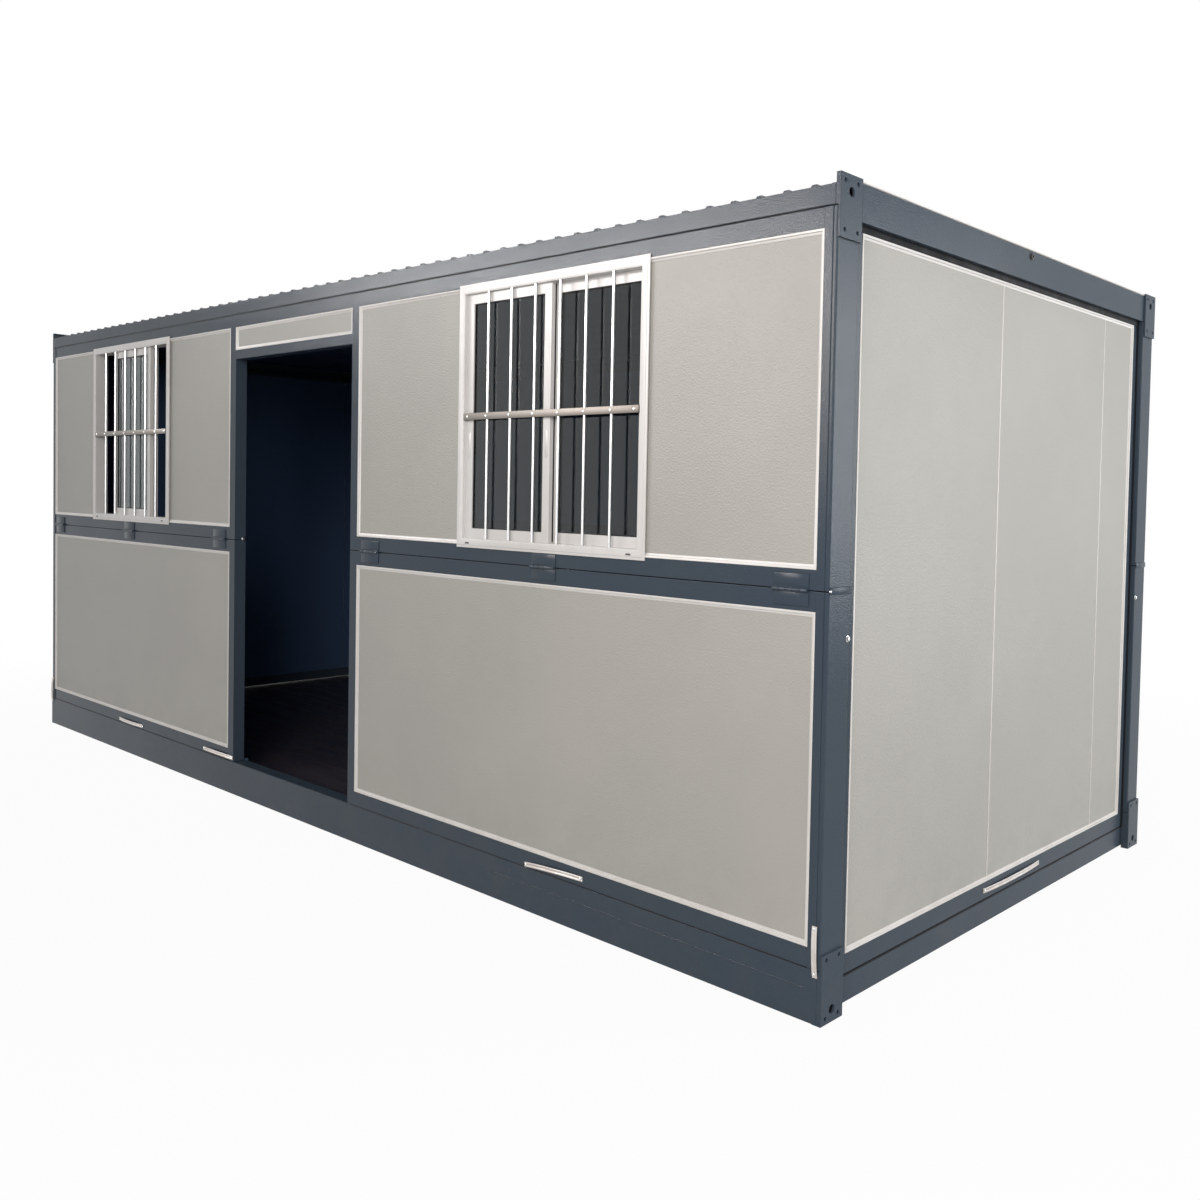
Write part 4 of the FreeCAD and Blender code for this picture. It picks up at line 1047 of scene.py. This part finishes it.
def add_block_backs():
    """Closing plates on the inner side of the hollow blocks behind the corner plates."""
    backs = bmesh.new()
    base_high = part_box("base_front_beam")[1]
    roof_low, roof_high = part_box("roof_front_beam")
    for foot, head in ((0.0, base_high.z), (roof_low.z, roof_high.z)):
        for facing, across in CORNERS:
            add_block(backs, (facing * BACK_NEAR, across * (SIDE - BACK_EDGE), foot + BACK_EDGE),
                      (facing * BACK_FAR, across * (SIDE - PLATE_WIDE + BACK_EDGE), head - BACK_EDGE),
                      bevel=0)
    add_piece("block_backs", backs, "painted_frame")


# Seals, strips and boards along the edges

SEAM_LIP_OUT, SEAM_LIP_HIDDEN, FOOT_LIP_HIGH = 0.0011, 0.0006, 0.0026
HEAD_LIP_HIGH, HEAD_LIP_HIDDEN = 0.0034, 0.0004


def add_seam_lines():
    """Black rubber lips in the seams over the base beams and under the roof beams, which stand in as painted
    shade for the dark line of each seam.
    """
    lips = bmesh.new()
    base_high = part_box("base_front_beam")[1]
    roof_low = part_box("roof_front_beam")[0]
    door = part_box("door_header_frame")
    front_spans = ((-POST, door[0].x - JAMB), (door[1].x + JAMB, POST))
    for facing, spans in ((-1, front_spans), (1, ((-POST, POST),))):
        inner, outer = facing * SIDE, facing * (SIDE + SEAM_LIP_OUT)
        for start, stop in spans:
            add_block(lips, (start, inner, base_high.z - SEAM_LIP_HIDDEN),
                      (stop, outer, base_high.z + FOOT_LIP_HIGH), bevel=0.0004)
        add_block(lips, (-POST, inner, roof_low.z - HEAD_LIP_HIGH),
                  (POST, outer, roof_low.z + HEAD_LIP_HIDDEN), bevel=0.0004)
    add_piece("seam_shade_lips", lips, "rubber_seal")


ROOF_STRIP = [(0.014, 0.0005), (0.004, 0.0005), (0.0015, 0.0030), (-0.0006, 0.0034), (-0.0008, 0.0072),
              (0.002, 0.0084), (0.014, 0.0078)]


def add_roof_edge_strips():
    """White sealing strips along the top edge of the roof end beams."""
    strips = bmesh.new()
    for side, facing in ENDS:
        low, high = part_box("roof_%s_beam" % side)
        outline = [(facing * (POST_FACE - inward), low.y, high.z + rise) for inward, rise in ROOF_STRIP]
        add_prism(strips, outline, Y * (high.y - low.y))
    add_piece("roof_edge_strips", strips, "white_bead")


SEAL_NEAR, SEAL_FAR, SEAL_WIDE, SEAL_FOOT = WALL + 0.0012, WALL + 0.0042, 0.011, 0.100
SEAL_OVER_PANEL, SEAL_OVER_BEAM = 0.0015, 0.006
FOOT_SEAL_OUT, FOOT_SEAL_BELOW, FOOT_SEAL_ABOVE = 0.0016, 0.0015, 0.0045


def add_wall_shade_seals():
    """Dark rubber lips on the posts, the base and the roof beam that an end wall closes against, which are also
    painted shade for the deep recess round the wall.
    """
    seals = bmesh.new()
    post_inside = SIDE - PLATE_WIDE
    for side, facing in ENDS:
        panel_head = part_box("%s_wall_panels" % side)[1].z
        beam_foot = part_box("roof_%s_beam" % side)[0].z
        near, far = facing * SEAL_NEAR, facing * SEAL_FAR
        for across in (-1, 1):
            add_block(seals, (near, across * post_inside, SEAL_FOOT),
                      (far, across * (post_inside - SEAL_WIDE), beam_foot), bevel=0.0008)
        add_block(seals, (near, -post_inside + SEAL_WIDE, panel_head + SEAL_OVER_PANEL),
                  (far, post_inside - SEAL_WIDE, beam_foot + SEAL_OVER_BEAM), bevel=0.0008)
        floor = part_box("base_%s_beam" % side)[1].z
        add_block(seals, (facing * WALL, -post_inside, floor - FOOT_SEAL_BELOW),
                  (facing * (WALL + FOOT_SEAL_OUT), post_inside, floor + FOOT_SEAL_ABOVE), bevel=0.0004)
    add_piece("end_wall_shade_seals", seals, "rubber_seal")


SKIRTING_END, SKIRTING_HEAD, SKIRTING_IN, SKIRTING_OUT = WALL - 0.070, 0.168, 0.008, 0.010


def add_skirtings():
    """Boards on the inner faces of the long base beams, up to the foot of the wall panels."""
    boards = bmesh.new()
    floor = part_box("floor_board")[1].z
    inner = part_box("base_back_beam")[0].y
    header_low, header_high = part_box("door_header_frame")
    spans = ((-SKIRTING_END, SKIRTING_END, 1), (-SKIRTING_END, header_low.x, -1),
             (header_high.x, SKIRTING_END, -1))
    for start, stop, facing in spans:
        add_block(boards, (start, facing * (inner - SKIRTING_IN), floor),
                  (stop, facing * (inner + SKIRTING_OUT), SKIRTING_HEAD), bevel=0.0004)
    add_piece("skirtings", boards, "ceiling_board", angle=FLAT)


GLAND_NUT = [(0, 0.0055), (0, 0.0138), (0.0024, 0.0138), (0.0028, 0.0130), (0.0028, 0.0055)]
GLAND_CAP = [(0, 0.0055), (0, 0.0112), (0.0026, 0.0108), (0.0042, 0.0090), (0.0050, 0.0068), (0.0048, 0.0055),
             (0, 0.0055)]
GLAND_CAP_OUT = 0.0026


def add_gland():
    low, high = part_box("cable_gland")
    place = Vector((low.x, (low.y + high.y) / 2, (low.z + high.z) / 2))
    gland = bmesh.new()
    add_turned(gland, place, X, GLAND_NUT, 6)
    add_turned(gland, place + X * GLAND_CAP_OUT, X, GLAND_CAP, 28)
    piece = add_piece("gland_fitting", gland, "black_plastic")
    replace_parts(piece, "cable_gland")


# Roof: foam under the ribs at both edges and screws through the ribs into the joists

FOAM_LONG, FOAM_INSET, FOAM_EASE = 0.020, 0.001, 0.0002
SCREW_ROWS, SCREW_EDGE = 6, 0.06
SCREW_WASHER = [(0, 0), (0, 0.0085), (0.0014, 0.008), (0.002, 0.006), (0.002, 0)]
SCREW_HEAD = [(0, 0), (0, 0.0048), (0.0036, 0.0048), (0.0044, 0.0036), (0.0044, 0)]
SCREW_HEAD_RISE = 0.002


def roof_ribs():
    low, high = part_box("roof_sheet")
    count = int((high.x - low.x) // RIB_PITCH)
    start = -RIB_PITCH * count / 2
    return low, high, [start + RIB_PITCH * (number + 0.5) for number in range(count)]


def add_rib_fillers():
    low, high, middles = roof_ribs()
    foam = bmesh.new()
    top = high.z - SHEET_THICK - FOAM_EASE
    half_top = RIB_CROWN / 2
    half_foot = half_top + RIB_SLOPE - FOAM_INSET
    for x in middles:
        outline = [(x - half_foot, low.z), (x + half_foot, low.z), (x + half_top, top), (x - half_top, top)]
        for y in (low.y + FOAM_INSET, high.y - FOAM_INSET - FOAM_LONG):
            add_prism(foam, [(u, y, z) for u, z in outline], Y * FOAM_LONG)
    add_piece("rib_fillers", foam, "painted_frame")


def add_roof_screws():
    low, high, middles = roof_ribs()
    screws = bmesh.new()
    joist_low, joist_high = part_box("roof_joists")
    pitch = (joist_high.x - joist_low.x - JOIST_WIDE) / (JOISTS - 1)
    span = high.y - low.y - SCREW_EDGE * 2
    rows = [low.y + SCREW_EDGE + span * step / (SCREW_ROWS - 1) for step in range(SCREW_ROWS)]
    joists = [joist_low.x + JOIST_WIDE / 2 + pitch * number for number in range(JOISTS)]
    for x in sorted({min(middles, key=lambda rib: abs(rib - joist)) for joist in joists}):
        for y in rows:
            add_turned(screws, (x, y, high.z), Z, SCREW_WASHER, 12)
            add_turned(screws, (x, y, high.z + SCREW_HEAD_RISE), Z, SCREW_HEAD, 6)
    add_piece("roof_screws", screws, "roof_sheet", material=STEEL)


def dress_frame():
    add_front_beads()
    add_back_beads()
    add_fold_hinges()
    for side, facing in SIDES:
        add_side_straps(side, facing)
    for side, facing in ENDS:
        add_end_beads(side, facing)
        add_end_strap(side, facing)
    add_bolts()
    add_collars()
    add_beam_skins()
    add_stile_covers()
    add_hole_shade_plugs()
    add_block_backs()
    add_seam_lines()
    add_roof_edge_strips()
    add_wall_shade_seals()
    add_skirtings()
    add_gland()
    add_rib_fillers()
    add_roof_screws()


# Floor: a pale ground that takes shadows and turns to plain white away from the house

FLOOR_HALF, FLOOR_GREY = 60, 0.55
NEAR_WHITE, FADE_START, FADE_STOP = 0.955, 2.5, 7.0


def add_floor():
    half = FLOOR_HALF
    mesh = bpy.data.meshes.new("floor")
    mesh.from_pydata([(-half, -half, 0), (half, -half, 0), (half, half, 0), (-half, half, 0)], [],
                     [(0, 1, 2, 3)])
    floor = bpy.data.objects.new("floor", mesh)
    bpy.context.scene.collection.objects.link(floor)
    material = bpy.data.materials.new("pale_floor")
    material.use_nodes = True
    tree = material.node_tree
    shader = tree.nodes["Principled BSDF"]
    shader.inputs["Base Color"].default_value = (FLOOR_GREY, FLOOR_GREY, FLOOR_GREY, 1)
    shader.inputs["Roughness"].default_value = 0.9
    shader.inputs["Specular IOR Level"].default_value = 0.1
    white = tree.nodes.new("ShaderNodeEmission")
    white.inputs["Strength"].default_value = 1
    place = tree.nodes.new("ShaderNodeNewGeometry")
    far = tree.nodes.new("ShaderNodeVectorMath")
    far.operation = "LENGTH"
    tree.links.new(place.outputs["Position"], far.inputs[0])
    white_share = add_range(tree, far.outputs["Value"], FADE_START, FADE_STOP, NEAR_WHITE, 1.0)
    share = add_math(tree, "MULTIPLY", add_seen(tree), white_share)
    mixed = mix_shaders(tree, share, shader.outputs[0], white.outputs[0])
    tree.links.new(mixed, tree.nodes["Material Output"].inputs["Surface"])
    mesh.materials.append(material)


add_camera()
add_world()
add_lamps()
add_floor()
dress_nodes()
dress_windows()
dress_frame()

bpy.context.scene.view_settings.view_transform = "Standard"
